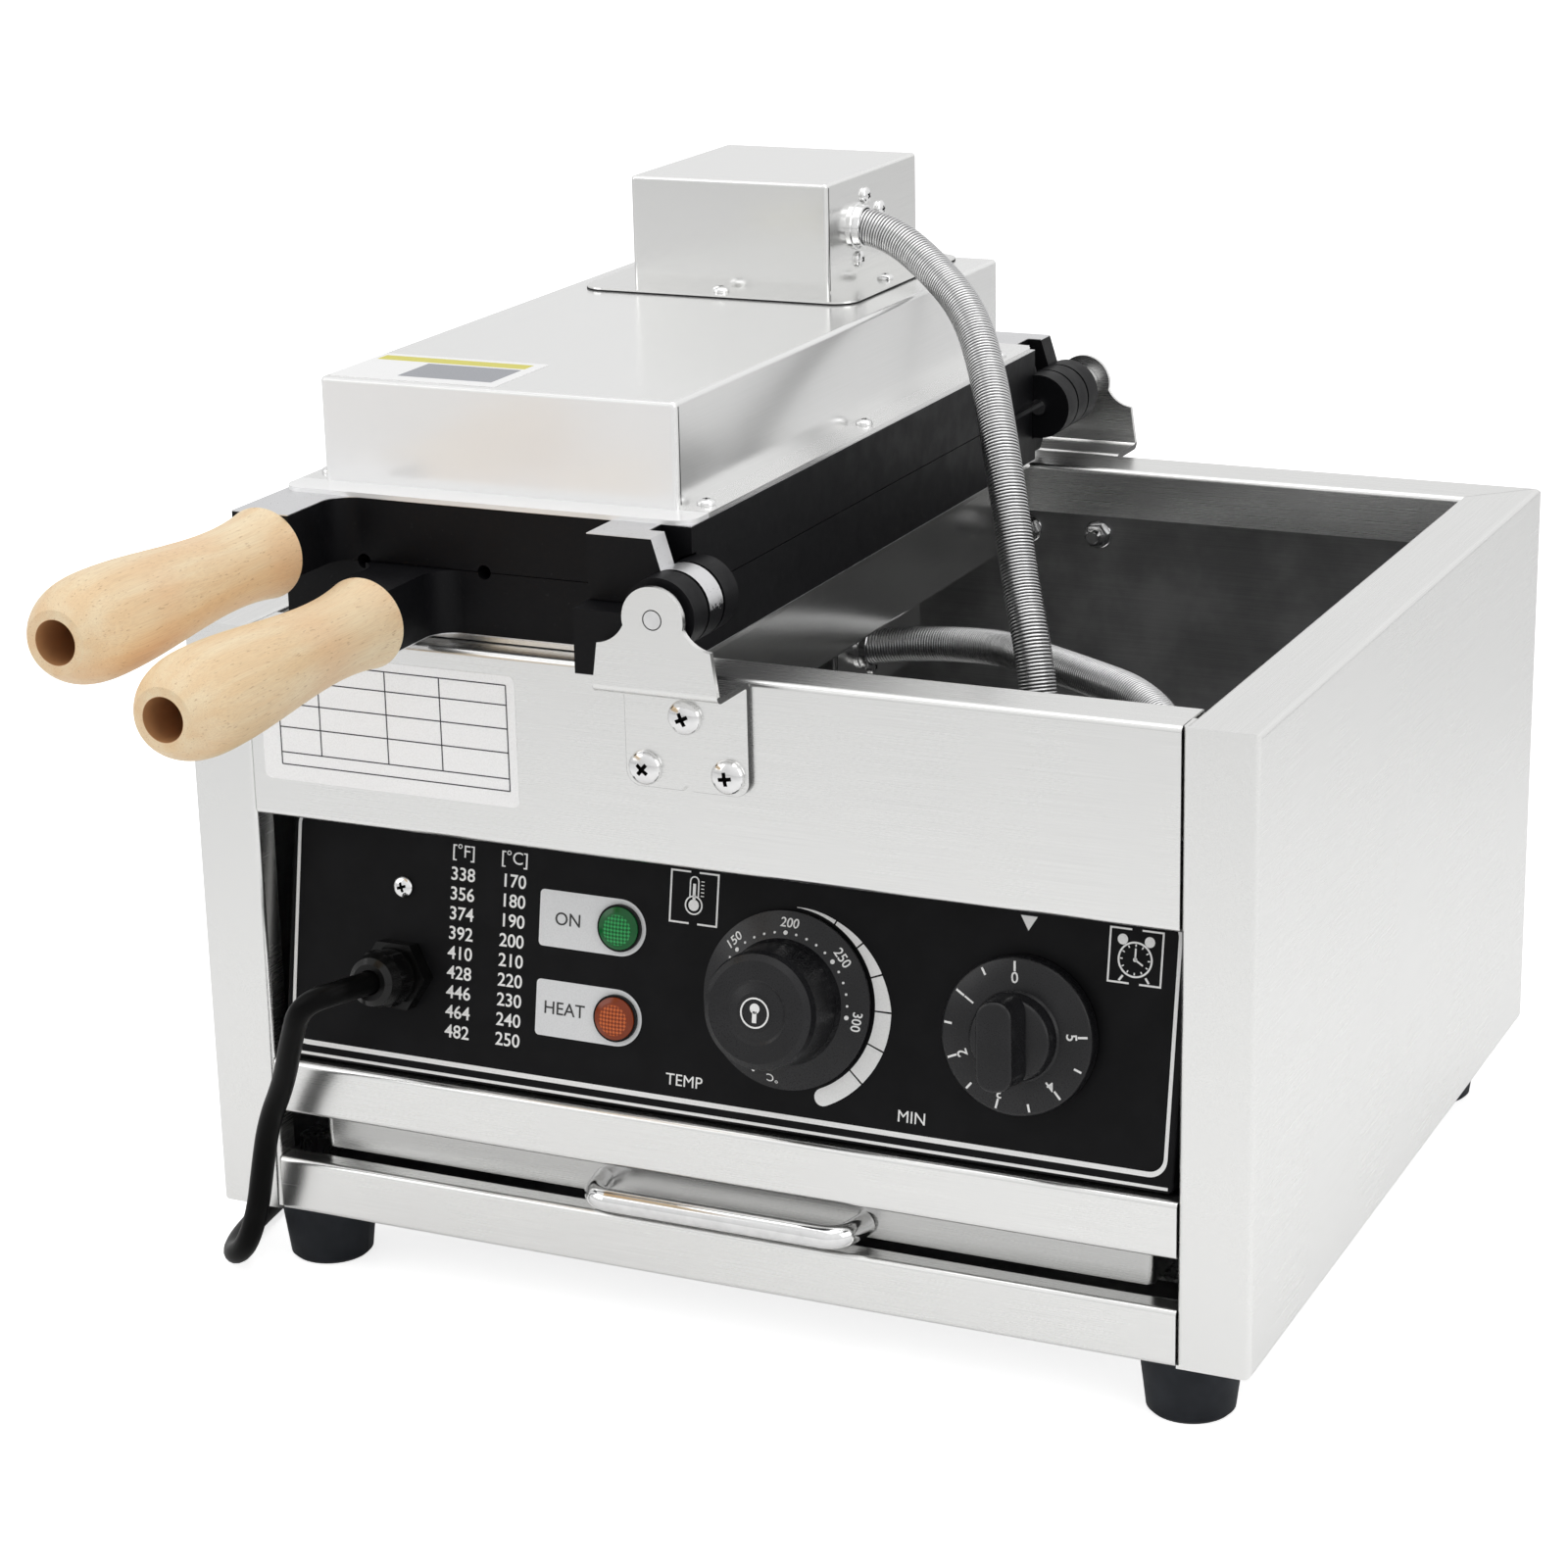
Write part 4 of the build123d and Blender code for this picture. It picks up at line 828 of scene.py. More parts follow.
class CONEMAKER_OT_stage(bpy.types.Operator):
    """Sets the floor, the lamps, the world and the camera"""

    bl_idname = "conemaker.stage"
    bl_label = "Stage"

    def execute(self, context):
        scene = context.scene
        self.floor()
        self.world(scene)
        for lamp in LAMPS:
            self.lamp(scene, *lamp)
        self.camera(scene)
        scene.view_settings.view_transform = "Standard"
        return {"FINISHED"}

    def floor(self):
        """Pale floor that keeps the machine's shadow."""
        shape = bmesh.new()
        bmesh.ops.create_grid(shape, x_segments=1, y_segments=1, size=6.0)
        mesh = as_mesh(shape, "studio_floor")
        floor = bpy.data.objects.new("studio_floor", mesh)
        bpy.context.scene.collection.objects.link(floor)
        finish = Finish("studio_floor", tuple(settings().floor_colour), 0.9)
        across, depth, _ = finish.axes(finish.points((MM, MM, MM)))
        reach = across * across + depth * depth
        pale = finish.step(across, -0.6, 1.2, 0.0, 0.17) + finish.step(reach, 0.1, 0.8, 0.20, 0.0)
        seen = finish.rays("Camera") + (finish.rays("Glossy") + finish.rays("Transmission")) * pale
        finish.set("Specular IOR Level", 0.1)
        finish.set("Emission Color", finish.mix(seen, BLACK, WHITE))
        finish.set("Emission Strength", 0.75)
        mesh.materials.append(finish.material)

    def world(self, scene):
        """Soft even light all round, white behind the machine."""
        world = bpy.data.worlds.new("studio")
        scene.world = world
        world.use_nodes = True
        graph = Graph(world.node_tree)
        graph.tree.nodes.clear()
        across, _, height = graph.axes(graph.node("ShaderNodeTexCoord", output="Generated"))
        band = graph.step(height, -0.05, 0.8, 0.86, 1.0)
        side = graph.step(across, -0.9, 0.6, 0.89, 1.06)
        camera = graph.rays("Camera")
        glossy = graph.rays("Glossy") + graph.rays("Transmission")
        strength = camera + glossy * band * side * (1 - camera) + (1 - camera) * (1 - glossy) * 0.5
        shade = graph.node("ShaderNodeBackground", None, {"Color": WHITE, "Strength": strength})
        graph.node("ShaderNodeOutputWorld", None, {"Surface": shade}, None)

    def lamp(self, scene, name, position, aim, size, watts):
        """Square soft light that points at its aim."""
        light = bpy.data.lights.new(name, "AREA")
        light.shape = "SQUARE"
        light.size = size
        light.energy = watts
        lamp = bpy.data.objects.new(name, light)
        lamp.location = position
        lamp.rotation_euler = (Vector(aim) - Vector(position)).to_track_quat("-Z", "Y").to_euler()
        scene.collection.objects.link(lamp)

    def camera(self, scene):
        """Camera in front and to the right, a little above."""
        sine, cosine = math.sin(AZIMUTH), math.cos(AZIMUTH)
        back = Vector((sine * math.cos(ELEVATION), -cosine * math.cos(ELEVATION), math.sin(ELEVATION)))
        level = Vector((cosine, sine, 0.0))
        upright = back.cross(level)
        right = math.cos(ROLL) * level + math.sin(ROLL) * upright
        up = math.cos(ROLL) * upright - math.sin(ROLL) * level
        lens = bpy.data.cameras.new("camera")
        lens.sensor_width = 36.0
        lens.lens = CAMERA_LENS
        camera = bpy.data.objects.new("camera", lens)
        turn = Matrix((right, up, back)).transposed().to_4x4()
        camera.matrix_world = Matrix.Translation(CAMERA_SPOT) @ turn
        scene.collection.objects.link(camera)
        scene.camera = camera


# ------------------------------------------------------------------ cord

COIL_MIDDLE = (-118.0, 250.0)
CORD_RUN = (
    (-129.5, -200, 117.5), (-138, -194, 101), (-147, -186, 82), (-157.5, -181, 64), (-162.5, -179, 46),
    (-166, -178.5, 29), (-172, -178, 14), (-182, -172, 6.2), (-190, -157, 4.2), (-195, -132, 4.2),
    (-199, -90, 4.2), (-201.5, -25, 4.2), (-201, 50, 4.2), (-197, 115, 4.2), (-188, 167, 4.2),
    (-170, 212, 4.2),
)
# Turned degrees, radius and height of the cord in its coil.
COIL_LAY = (
    (0, 51.5, 4.2), (60, 48.5, 4.2), (300, 48.5, 4.2), (352, 40.5, 4.2), (590, 40.5, 4.2),
    (655, 40.5, 12.2), (950, 40.5, 12.2), (1010, 48.5, 12.2), (1320, 48.5, 12.2), (1400, 46.0, 19.4),
    (1450, 47.5, 19.4), (1530, 51.5, 17.4),
)
COIL_STEP = 22.5              # degrees from one point of the coil to the next
PLUG_END = (-99.0, 301.5, 17.2)


def between(table, value):
    """Smooth reading between the rows of a table whose first column rises."""
    for low, high in zip(table, table[1:]):
        if value <= high[0]:
            share = (value - low[0]) / (high[0] - low[0])
            share = share * share * (3 - 2 * share)
            return [a + (b - a) * share for a, b in zip(low[1:], high[1:])]
    return list(table[-1][1:])


class CONEMAKER_OT_power_cord(bpy.types.Operator):
    """Lays the power cord, its coil and its plug"""

    bl_idname = "conemaker.power_cord"
    bl_label = "Power cord"

    def execute(self, context):
        rubber = moulded("cord_jacket", (0.002, 0.002, 0.002), 0.36, 0.05, 0.06)
        start = on_panel(*GLAND, 8.3).translation
        points = [start, on_panel(*GLAND, 36.0).translation]
        points += [spot(*p) for p in CORD_RUN]
        widen = 1 / math.cos(math.radians(COIL_STEP / 2))
        turned = 0.0
        while turned <= COIL_LAY[-1][0]:
            radius, height = between(COIL_LAY, turned)
            across, depth = arc(COIL_MIDDLE, radius * widen, [180 - turned])[0]
            points.append(spot(across, depth, height))
            turned += COIL_STEP
        points.append(points[-1] + Vector((8 * MM, 0, 0)))
        points.append(spot(*PLUG_END))
        curve = line_curve("power_cord_run", "NURBS", points)
        curve.bevel_depth = settings().cord_diameter / 2
        curve.bevel_resolution = 6
        curve.use_fill_caps = True
        cord = bpy.data.objects.new("power_cord_run", curve)
        context.scene.collection.objects.link(cord)
        curve.materials.append(rubber)
        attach(cord, "housing")
        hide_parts("power_cord", "cord_coil")
        paint(["plug"], rubber)
        return {"FINISHED"}


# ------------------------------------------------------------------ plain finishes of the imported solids

class CONEMAKER_OT_sheet_metal(bpy.types.Operator):
    """Brushes the housing's sheets, dulls their sides inside the well and darkens them there with painted
    shade, paints shade on the bracket edges and the drip tray, and a sheen on the covers
    """

    bl_idname = "conemaker.sheet_metal"
    bl_label = "Sheet metal"

    def execute(self, context):
        colour = tuple(settings().steel_colour)
        rough = settings().steel_roughness
        # Solids, name of the finish, axis of its streaks, shares of colour and roughness, masks.
        sheets = (
            # Sheets masked as dull inside the well are darkened there with painted shade; the bulkhead and
            # base plate all over.
            (("left_side_panel", "right_side_panel"), "side_steel", "Y", 1.0, 1.0, {"dull_and_shaded": inside_wall}),
            (("rear_panel",), "rear_steel", "X", 1.0, 1.0, {"dull_and_shaded": inside_rear}),
            (("front_apron", "trim_strip", "bottom_rail"), "front_steel", "X", 1.0, 1.0, {}),
            (("hinge_brackets",), "bracket_steel", "X", 1.0, 1.0, {"cut": bracket_edge}),
            (("bulkhead", "base_plate"), "well_steel", "X", 1.0, 1.0, {"dull_and_shaded": all_over}),
            (("upper_cover", "upper_terminal_box", "lower_cover", "lower_terminal_box"),
             "cover_steel", "Y", 1.0, 0.7, {"painted_sheen": cover_faces}),
            # The drip tray's steel is darker, a painted shade from the trim above it.
            (("drip_tray",), "shaded_tray_steel", "X", 0.66, 1.0, {}),
        )
        for names, title, along, tone, dullness, masks in sheets:
            finish = brushed_steel(title, along, shaded(colour, tone), rough * dullness, **masks)
            paint(names, finish)
        return {"FINISHED"}


class CONEMAKER_OT_castings(bpy.types.Operator):
    """Coats the castings"""

    bl_idname = "conemaker.castings"
    bl_label = "Castings"

    def execute(self, context):
        paint(["upper_casting"], coated_casting("upper_coating", upper_bare))
        paint(["lower_casting"], coated_casting("lower_coating", lower_bare))
        return {"FINISHED"}


class CONEMAKER_OT_small_parts(bpy.types.Operator):
    """Gives hidden parts and plain small parts their finishes"""

    bl_idname = "conemaker.small_parts"
    bl_label = "Small parts"

    def execute(self, context):
        rows = (
            (("thermostat_shaft", "timer_shaft", "front_hinge_pin", "rear_hinge_pin", "rear_spacer",
              "bulkhead_fittings", "tray_handle", "tray_handle_screws"),
             bright_plate("bright_plate"), "bright_steel"),
            (("tray_runners", "timer_body", "foot_screws", "lower_heater", "upper_heater",
              "lower_handle_bolt", "upper_handle_bolt"),
             bright_plate("zinc_plate", (0.62, 0.63, 0.62), 0.28), "zinc_steel"),
            (("thermostat_body",),
             bright_plate("thermostat_case", (0.66, 0.66, 0.68), 0.35), "thermostat_case"),
            (("lower_insulation", "upper_insulation"),
             fibre_board("mineral_fibre", (0.78, 0.76, 0.70)), "mineral_fibre"),
            (("terminal_block",), moulded("terminal_plastic", (0.70, 0.69, 0.64), 0.45), "terminal_plastic"),
            (("feet",), moulded("foot_rubber", (0.018, 0.020, 0.024), 0.5, 0.2), "rubber_black"),
            (("control_panel",),
             moulded("panel_film", (0.0045, 0.0045, 0.005), 0.42, 0.03, 0.10), "panel_black"),
            (("cable_gland", "gland_locknut"),
             moulded("gland_plastic", (0.003, 0.003, 0.003), 0.2, 0.03, 0.3), "gland_plastic"),
            (("lamp_holders",), moulded("bezel_plastic", (0.006, 0.006, 0.006), 0.25, 0.05), "bezel_black"),
        )
        for names, finish, slot in rows:
            paint(names, finish)
        return {"FINISHED"}


class CONEMAKER_OT_lamps(bpy.types.Operator):
    """Gives the lenses of both pilot lamps their colours"""

    bl_idname = "conemaker.lamps"
    bl_label = "Pilot lamps"

    def execute(self, context):
        for name, slot, rise, colour, deep in (
                ("green_lens", "lens_green", LAMP_RISES[0], (0.02, 0.36, 0.09), (0.0, 0.10, 0.02)),
                ("amber_lens", "lens_amber", LAMP_RISES[1], (0.62, 0.13, 0.025), (0.22, 0.032, 0.004))):
            middle = on_panel(LAMP_X, rise).translation
            paint([name], lamp_plastic(name, colour, deep, middle))
        return {"FINISHED"}


# Half outline of the timer's dial and the hub on it: radius, height.
TIMER_DIAL = (
    (0.0, 12.9), (3.05, 12.9), (3.05, 1.0), (25.4, 1.0), (25.4, 5.3), (25.0, 6.0), (24.2, 6.5),
    (14.8, 6.9), (14.1, 7.6), (13.6, 11.6), (13.2, 12.5), (12.3, 13.1), (0.0, 13.5),
)
TIMER_BAR = (12.0, 28.4, 5.2)     # width, length, radius of its ends' corners
TIMER_BAR_SPAN = (12.8, 26.0)     # heights between which it stands on the hub
TIMER_TURN = 4                    # degrees, so that its 0 lies under the panel's mark


class CONEMAKER_OT_knobs(bpy.types.Operator):
    """Finishes the thermostat's knob and makes the timer's"""

    bl_idname = "conemaker.knobs"
    bl_label = "Knobs"

    def execute(self, context):
        plastic = moulded("knob_plastic", (0.008, 0.008, 0.009), 0.3, 0.05, 0.32)
        paint(["thermostat_knob"], plastic)
        dial = spun(TIMER_DIAL, HERE, 96)
        ridge = prism(rounded_box(*TIMER_BAR, steps=8), *TIMER_BAR_SPAN, HERE, 1.3, 4)
        knob = copies(join(dial, ridge), [turned_by(on_panel(*TIMER), TIMER_TURN)])
        piece("timer_knob_shell", knob, plastic, "timer_dial", ["timer_knob"])
        return {"FINISHED"}


class CONEMAKER_OT_grips(bpy.types.Operator):
    """Oils the beech grips"""

    bl_idname = "conemaker.grips"
    bl_label = "Grips"

    def execute(self, context):
        paint(["upper_grip", "lower_grip"], turned_beech())
        return {"FINISHED"}


# ------------------------------------------------------------------ fasteners

BRACKET_SCREWS = ((0.0, 221.0, 25), (-14.5, 203.0, 50), (14.5, 203.0, 8))   # across, height, turn
COVER_SCREWS = [(x, y) for x in (-147.2, -8.25) for y in (-133.0, -7.25, 118.5)]
BOX_SCREWS = ((-80.5, 30.5), (-34.0, 72.0), (-127.0, 72.0))
PORT = (BOX_RIGHT, 64.0, COVER_TOP + 21.5)
PORT_SCREWS = ((7.5, 9.9), (20.6, 3.1), (1.3, -12.3))    # to the back and up from the port's middle
NUT_RADIUS = 4.6
# Heads of screws: radius, height, length and radius of the shank, arm of the cross.
BRACKET_HEAD = (5.7, 3.4, 11.0, 2.5, 3.0)
PANEL_HEAD = (3.7, 2.0, 9.0, 1.85, 2.3)
COLLAR = (
    (5.1, 0), (8.6, 0), (8.6, 0.9), (8.1, 1.3), (7.7, 3.7), (7.3, 4.0), (6.75, 4.0), (6.75, 1.4),
    (5.1, 1.4),
)


def pan_head(radius, height, shank, shank_radius, arm):
    """Pan-head screw above z = 0 with its cross recess and its shank below."""
    rim = 0.28 * height
    outline = [(0, -shank), (shank_radius - 0.3, -shank), (shank_radius, 0.4 - shank), (shank_radius, 0),
               (radius * 0.96, 0), (radius, 0.1 * height), (radius, rim)]
    for i in range(1, 8):
        turn = math.pi / 2 * i / 8
        outline.append((radius * math.cos(turn), rim + (height - rim) * math.sin(turn)))
    outline.append((0, height))
    wing = arm * 0.28
    cross = [(arm, wing), (wing, wing), (wing, arm), (-wing, arm), (-wing, wing), (-arm, wing),
             (-arm, -wing), (-wing, -wing), (-wing, -arm), (wing, -arm), (wing, -wing), (arm, -wing)]
    tool = prism(cross, height * 0.42, height * 1.5, HERE)
    floor = [vert for vert in tool.verts if vert.co.z < height]
    bmesh.ops.scale(tool, verts=floor, vec=(0.55, 0.55, 1))
    return carved(spun(outline, HERE, 40), tool)


def standing(spots, height, step):
    """Places of upright screws, each turned some degrees further than the one before."""
    return [turned_by(facing(spot(x, y, height), UP), step * i) for i, (x, y) in enumerate(spots)]


class CONEMAKER_OT_fasteners(bpy.types.Operator):
    """Makes the screws with their cross recesses, the nuts and the collars of the conduits"""

    bl_idname = "conemaker.fasteners"
    bl_label = "Fasteners"

    def execute(self, context):
        # The second finish paints the faces of each cross recess dark, as shade.
        self.finish = (bright_plate("screw_plate", (0.82, 0.82, 0.82), 0.12),
                       moulded("recess", (0.004, 0.004, 0.004), 0.6, 0.12, 0.05))
        self.brackets()
        place = turned_by(on_panel(*PANEL_SCREW), 20)
        piece("panel_screw_head", copies(pan_head(*PANEL_HEAD), [place]), self.finish,
              "housing", ["panel_screw"])
        for name in ("upper", "lower"):
            self.plate(name)
        return {"FINISHED"}

    def brackets(self):
        """Screws, washers and nuts of both brackets."""
        heads, nuts = [], []
        for face_y, out in ((FRONT_Y, -1), (-FRONT_Y, 1)):
            for x, z, turn in BRACKET_SCREWS:
                heads.append(turned_by(facing(spot(x, face_y + out * 2.0, z), (0, out, 0)), turn))
                nuts.append(turned_by(facing(spot(x, face_y - out * SHEET, z), (0, -out, 0)), turn))
        piece("bracket_screw_heads", copies(pan_head(*BRACKET_HEAD), heads), self.finish,
              "housing", ["bracket_screws"])
        washer = spun(((2.6, 0), (5.5, 0), (5.5, 0.6), (5.2, 0.8), (2.6, 0.8)), HERE, 40, closed=True)
        nut = prism(arc((0, 0), NUT_RADIUS, range(0, 360, 60)), 0.8, 4.4, HERE, 0.35)
        piece("bracket_nut_set", copies(join(washer, nut), nuts), self.finish[0], "housing",
              ["bracket_nuts"], 30)

    def plate(self, name):
        """Screws and conduit collar of one plate's cover and box."""
        body = name + "_plate"
        port = facing(spot(*PORT), (1, 0, 0), (0, 1, 0))
        cover = standing(COVER_SCREWS, COVER_FOOT, 37)
        box = standing(BOX_SCREWS, COVER_TOP + SHEET, 29)
        box += [turned_by(port @ Matrix.Translation((y, z, 0)), 31 * y) for y, z in PORT_SCREWS]
        for part, places, shank in (("_cover_screw", cover, 1.3), ("_box_screw", box, 1.0)):
            screws = copies(pan_head(3.1, 2.0, shank, 1.5, 1.6), [on_plate(place, name) for place in places])
            piece(name + part + "_heads", screws, self.finish, body, [name + part + "s"])
        collar = copies(spun(COLLAR, HERE, 64, closed=True), [on_plate(port, name)])
        piece(name + "_collar", collar, self.finish[0], body, [name + "_conduit_fitting"], 30)


# Painted shadow that shows round the foot of a plate's box, under its flange: width, depth, radius of its
# corners, middle.
FOOT_SHADOW = (108.3, 105.3, 9.15, (-80.5, 75.5))
# Height of the painted shadow band.
SHADOW_RISE = 0.55
# Shadow lines at the front right corners of cover and box: across, depth, low and high end.
CORNER_SEAMS = (
    (COVER_RIGHT, COVER_FRONT + 2.1, COVER_FOOT + 1.2, COVER_TOP - 1.7),
    (BOX_RIGHT, 39.6, COVER_TOP + 1.8, BOX_TOP - 1.4),
)


class CONEMAKER_OT_seams(bpy.types.Operator):
    """Draws the painted shadow gaps of the folded covers and a painted shadow ring round each hinge pin"""

    bl_idname = "conemaker.seams"
    bl_label = "Seams"

    def execute(self, context):
        dark = moulded("shadow_gap", (0.012, 0.012, 0.012), 0.7)
        for name in ("upper", "lower"):
            level = on_plate(facing(spot(0, 0, COVER_TOP), UP), name)
            gaps = [prism(rounded_box(*FOOT_SHADOW, 8), 0.0, SHADOW_RISE, level)]
            for x, y, low, high in CORNER_SEAMS:
                side = on_plate(facing(spot(x, y, low), (1, 0, 0), (0, 1, 0)), name)
                gaps.append(bar(0.0, 0.45, 0.0, high - low, side, 0.05))
            piece(name + "_gaps", join(*gaps), dark, name + "_plate")
        # Painted shadow in the gap round the head of each hinge pin.
        for name, out in (("front", -1), ("rear", 1)):
            end = spot(0, out * (BRACKET_REACH - FRONT_Y), PIN_Z)
            rim = ring(3.3, 0.35, facing(end, (0, out, 0)), 0.04)
            piece(name + "_pin_shadow_ring", rim, dark, "housing")
        return {"FINISHED"}


# ------------------------------------------------------------------ conduits

UPPER_RUN = (
    (-38.6, 64, 336.9), (-28, 64, 335.2), (-9.7, 58, 325), (10.7, 43.6, 312.3), (24, 27.4, 294.4),
    (34.1, 12.1, 275.5), (42.7, 0.3, 254.7), (51, -11.1, 230.6), (60.1, -22.7, 211.1),
    (65.7, -29.1, 186.2), (66.1, -36.3, 153.9), (64.5, -48, 131), (63, -67, 119.5), (61.5, -89.1, 118),
)
LOWER_RUN = (
    (-38.6, 64, 178.9), (-24, 64, 181.6), (0, 60.5, 184.6), (20.4, 50, 187.8), (35.6, 33.6, 191),
    (51, 21.2, 192.4), (74, 5, 193.3), (93, -8, 193.4), (110, -24, 188.5), (121, -43, 177),
    (126, -66, 160.5), (126.5, -89.1, 158),
)
# Share of the radius, and the painted shade of the groove, at each step along one turn of the strip.
RIBS = ((0.935, 1.0), (0.985, 0.45), (1.0, 0.0), (0.985, 0.45))
SPLIT_HEIGHT = 0.190          # where the upper conduit passes from plate to housing, metres


class CONEMAKER_OT_conduits(bpy.types.Operator):
    """Winds the two flexible steel conduits"""

    bl_idname = "conemaker.conduits"
    bl_label = "Conduits"

    def execute(self, context):
        strip = wound_strip()
        pitch = settings().conduit_pitch / len(RIBS)
        radius = settings().conduit_radius
        lower = evenly(smooth_line([spot(*p) for p in LOWER_RUN]), pitch)
        made = piece("lower_conduit_run", ribbed_tube(lower, radius, RIBS), strip, None,
                     ["lower_conduit"], 60)
        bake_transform(made)
        upper = evenly(smooth_line([spot(*p) for p in UPPER_RUN]), pitch)
        cut = min(range(len(upper)), key=lambda i: abs(upper[i].z - SPLIT_HEIGHT))
        cut -= cut % len(RIBS)
        top = piece("upper_conduit_run", ribbed_tube(upper[:cut + 1], radius, RIBS), strip, None,
                    ["upper_conduit"], 60)
        low = piece("upper_conduit_tail", ribbed_tube(upper[cut:], radius, RIBS), strip, None,
                    [], 60)
        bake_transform(top)
        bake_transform(low)
        return {"FINISHED"}


# ------------------------------------------------------------------ panel print

FRAME_LINE = 1.2              # width of the white border line
FRAME_SIZE = (316.2, 82.0)
FRAME_RISE = 42.5             # of the border's middle
FIRST_DEGREES, LAST_DEGREES = 170, 250


def lamp_plate(rise):
    """Outline of the white field around a pilot lamp: square on the left, round on the right."""
    left, half, soft = -64.2, 9.5, 1.5
    round_end = arc((LAMP_X - 0.2, rise), half, range(-90, 91, 6))
    high = arc((left + soft, rise + half - soft), soft, range(90, 181, 15))
    low = [(x, 2 * rise - y) for x, y in reversed(high)]
    return round_end + high + low


class CONEMAKER_OT_panel_print(bpy.types.Operator):
    """Prints the border, the table of temperatures, the lamp fields and the marks on the panel"""

    bl_idname = "conemaker.panel_print"
    bl_label = "Panel print"

    def execute(self, context):
        self.thick = settings().print_thickness
        self.sheet = on_panel(0, 0)
        ink = printed("panel_ink", PRINT_WHITE)
        marks = self.border() + self.table() + self.power_band() + self.pictures()
        marks.append(lettering("TEMP", 5.6, on_panel(-8.5, 8.8), self.thick))
        marks.append(lettering("MIN", 5.6, on_panel(72.2, 8.4), self.thick))
        piece("panel_marks", join(*marks), ink, "housing")
        fields = [prism(lamp_plate(rise), 0.0, self.thick, self.sheet) for rise in LAMP_RISES]
        white = printed("lamp_field", (0.80, 0.81, 0.82), 0.35)
        piece("lamp_fields", join(*fields), white, "housing")
        black = printed("black_ink", (0.02, 0.02, 0.02), 0.5)
        words = [lettering(word, 6.2, on_panel(-53.6, rise, self.thick), self.thick)
                 for word, rise in zip(("ON", "HEAT"), LAMP_RISES)]
        piece("lamp_words", join(*words), black, "housing")
        return {"FINISHED"}

    def border(self):
        """White frame line with round corners, and a second line along the bottom edge."""
        width, height = FRAME_SIZE
        outer = rounded_box(width, height, 6.0, (0, FRAME_RISE), 8)
        inner = rounded_box(width - 2 * FRAME_LINE, height - 2 * FRAME_LINE - 0.5, 4.8,
                            (0, FRAME_RISE + 0.25), 8)
        shape = bmesh.new()
        edges = []
        for outline in (outer, inner):
            rim = [shape.verts.new((x, y, 0)) for x, y in outline]
            edges += [shape.edges.new(pair) for pair in zip(rim, rim[1:] + rim[:1])]
        bmesh.ops.bridge_loops(shape, edges=edges)
        line = put(raised(shape, self.thick), self.sheet)
        return [line, bar(-158.8, 158.8, -2.0, -1.0, self.sheet, self.thick)]

    def table(self):
        """Two columns that turn degrees Celsius into Fahrenheit, ten degrees a row."""
        celsius = range(FIRST_DEGREES, LAST_DEGREES + 1, 10)
        marks = []
        for x, unit, values in ((-93.7, "F", [round(c * 1.8 + 32) for c in celsius]), (-74.4, "C", celsius)):
            marks.append(lettering("[\u00b0" + unit + "]", 6.0, on_panel(x, 75.0), self.thick))
            for row, value in enumerate(values):
                marks.append(lettering(str(value), 6.3, on_panel(x, 67.2 - 6.72 * row), self.thick))
        return marks

    def power_band(self):
        """Band of seven fields that widens clockwise around the thermostat's dial."""
        inner = 30.3
        # Angle and outer radius of the band where one field meets the next.
        reach = ((88, 30.5), (61, 31.6), (41, 32.9), (21, 34.3), (0.5, 35.9), (-20.5, 36.2), (-41.5, 36.2),
                 (-66, 36.2))
        fields = []
        for (start, wide), (stop, wider) in zip(reach, reach[1:]):
            shares = [i / 8 for i in range(9)]
            angles = [start - 0.5 + (stop - start + 1.0) * share for share in shares]
            outline = []
            for share, angle in zip(shares, angles):
                outline += arc((0, 0), wide + (wider - wide) * share, [angle])
            if stop == reach[-1][0]:
                half = (wider - inner) / 2
                middle = arc((0, 0), inner + half, [stop + 0.5])[0]
                outline += arc(middle, half, [stop + 0.5 - a for a in range(20, 161, 20)])
            outline += arc((0, 0), inner, reversed(angles))
            fields.append(prism(outline, 0.0, self.thick, on_panel(*THERMOSTAT)))
        return fields

    def pictures(self):
        """Framed thermometer and clock, and the timer's triangle."""
        marks = [prism(((105.0, 78.4), (107.8, 73.7), (110.6, 78.4)), 0.0, self.thick, self.sheet)]
        for left, right in ((-16.5, 0.4), (134.8, 152.0)):
            for side, x in ((1, left), (-1, right)):
                reach = x + side * 6.9
                corners = ((reach, 61.4), (x, 61.4), (x, 78.4), (reach, 78.4))
                marks.append(stroke(corners, 0.6, self.sheet, self.thick))
        return marks + self.thermometer(-8.1, 67.5) + self.clock(143.3, 69.0)

    def thermometer(self, x, y):
        """Bulb about a point of the panel, its tube and its scale."""
        place, thick = self.sheet, self.thick
        top = y + 7.9
        tube = [(x + 1.5, y + 2.8), (x + 1.5, top), *arc((x, top), 1.5, range(30, 151, 30)), (x - 1.5, top),
                (x - 1.5, y + 2.8)]
        marks = [ring(3.2, 0.5, on_panel(x, y), thick), dot(1.9, on_panel(x, y), thick),
                 stroke(tube, 0.45, place, thick), bar(x - 0.5, x + 0.5, y + 1.5, top - 0.8, place, thick)]
        for row in range(5):
            height = y + 3.1 + 1.2 * row
            marks.append(bar(x + 2.4, x + 3.5, height, height + 0.3, place, thick))
        return marks

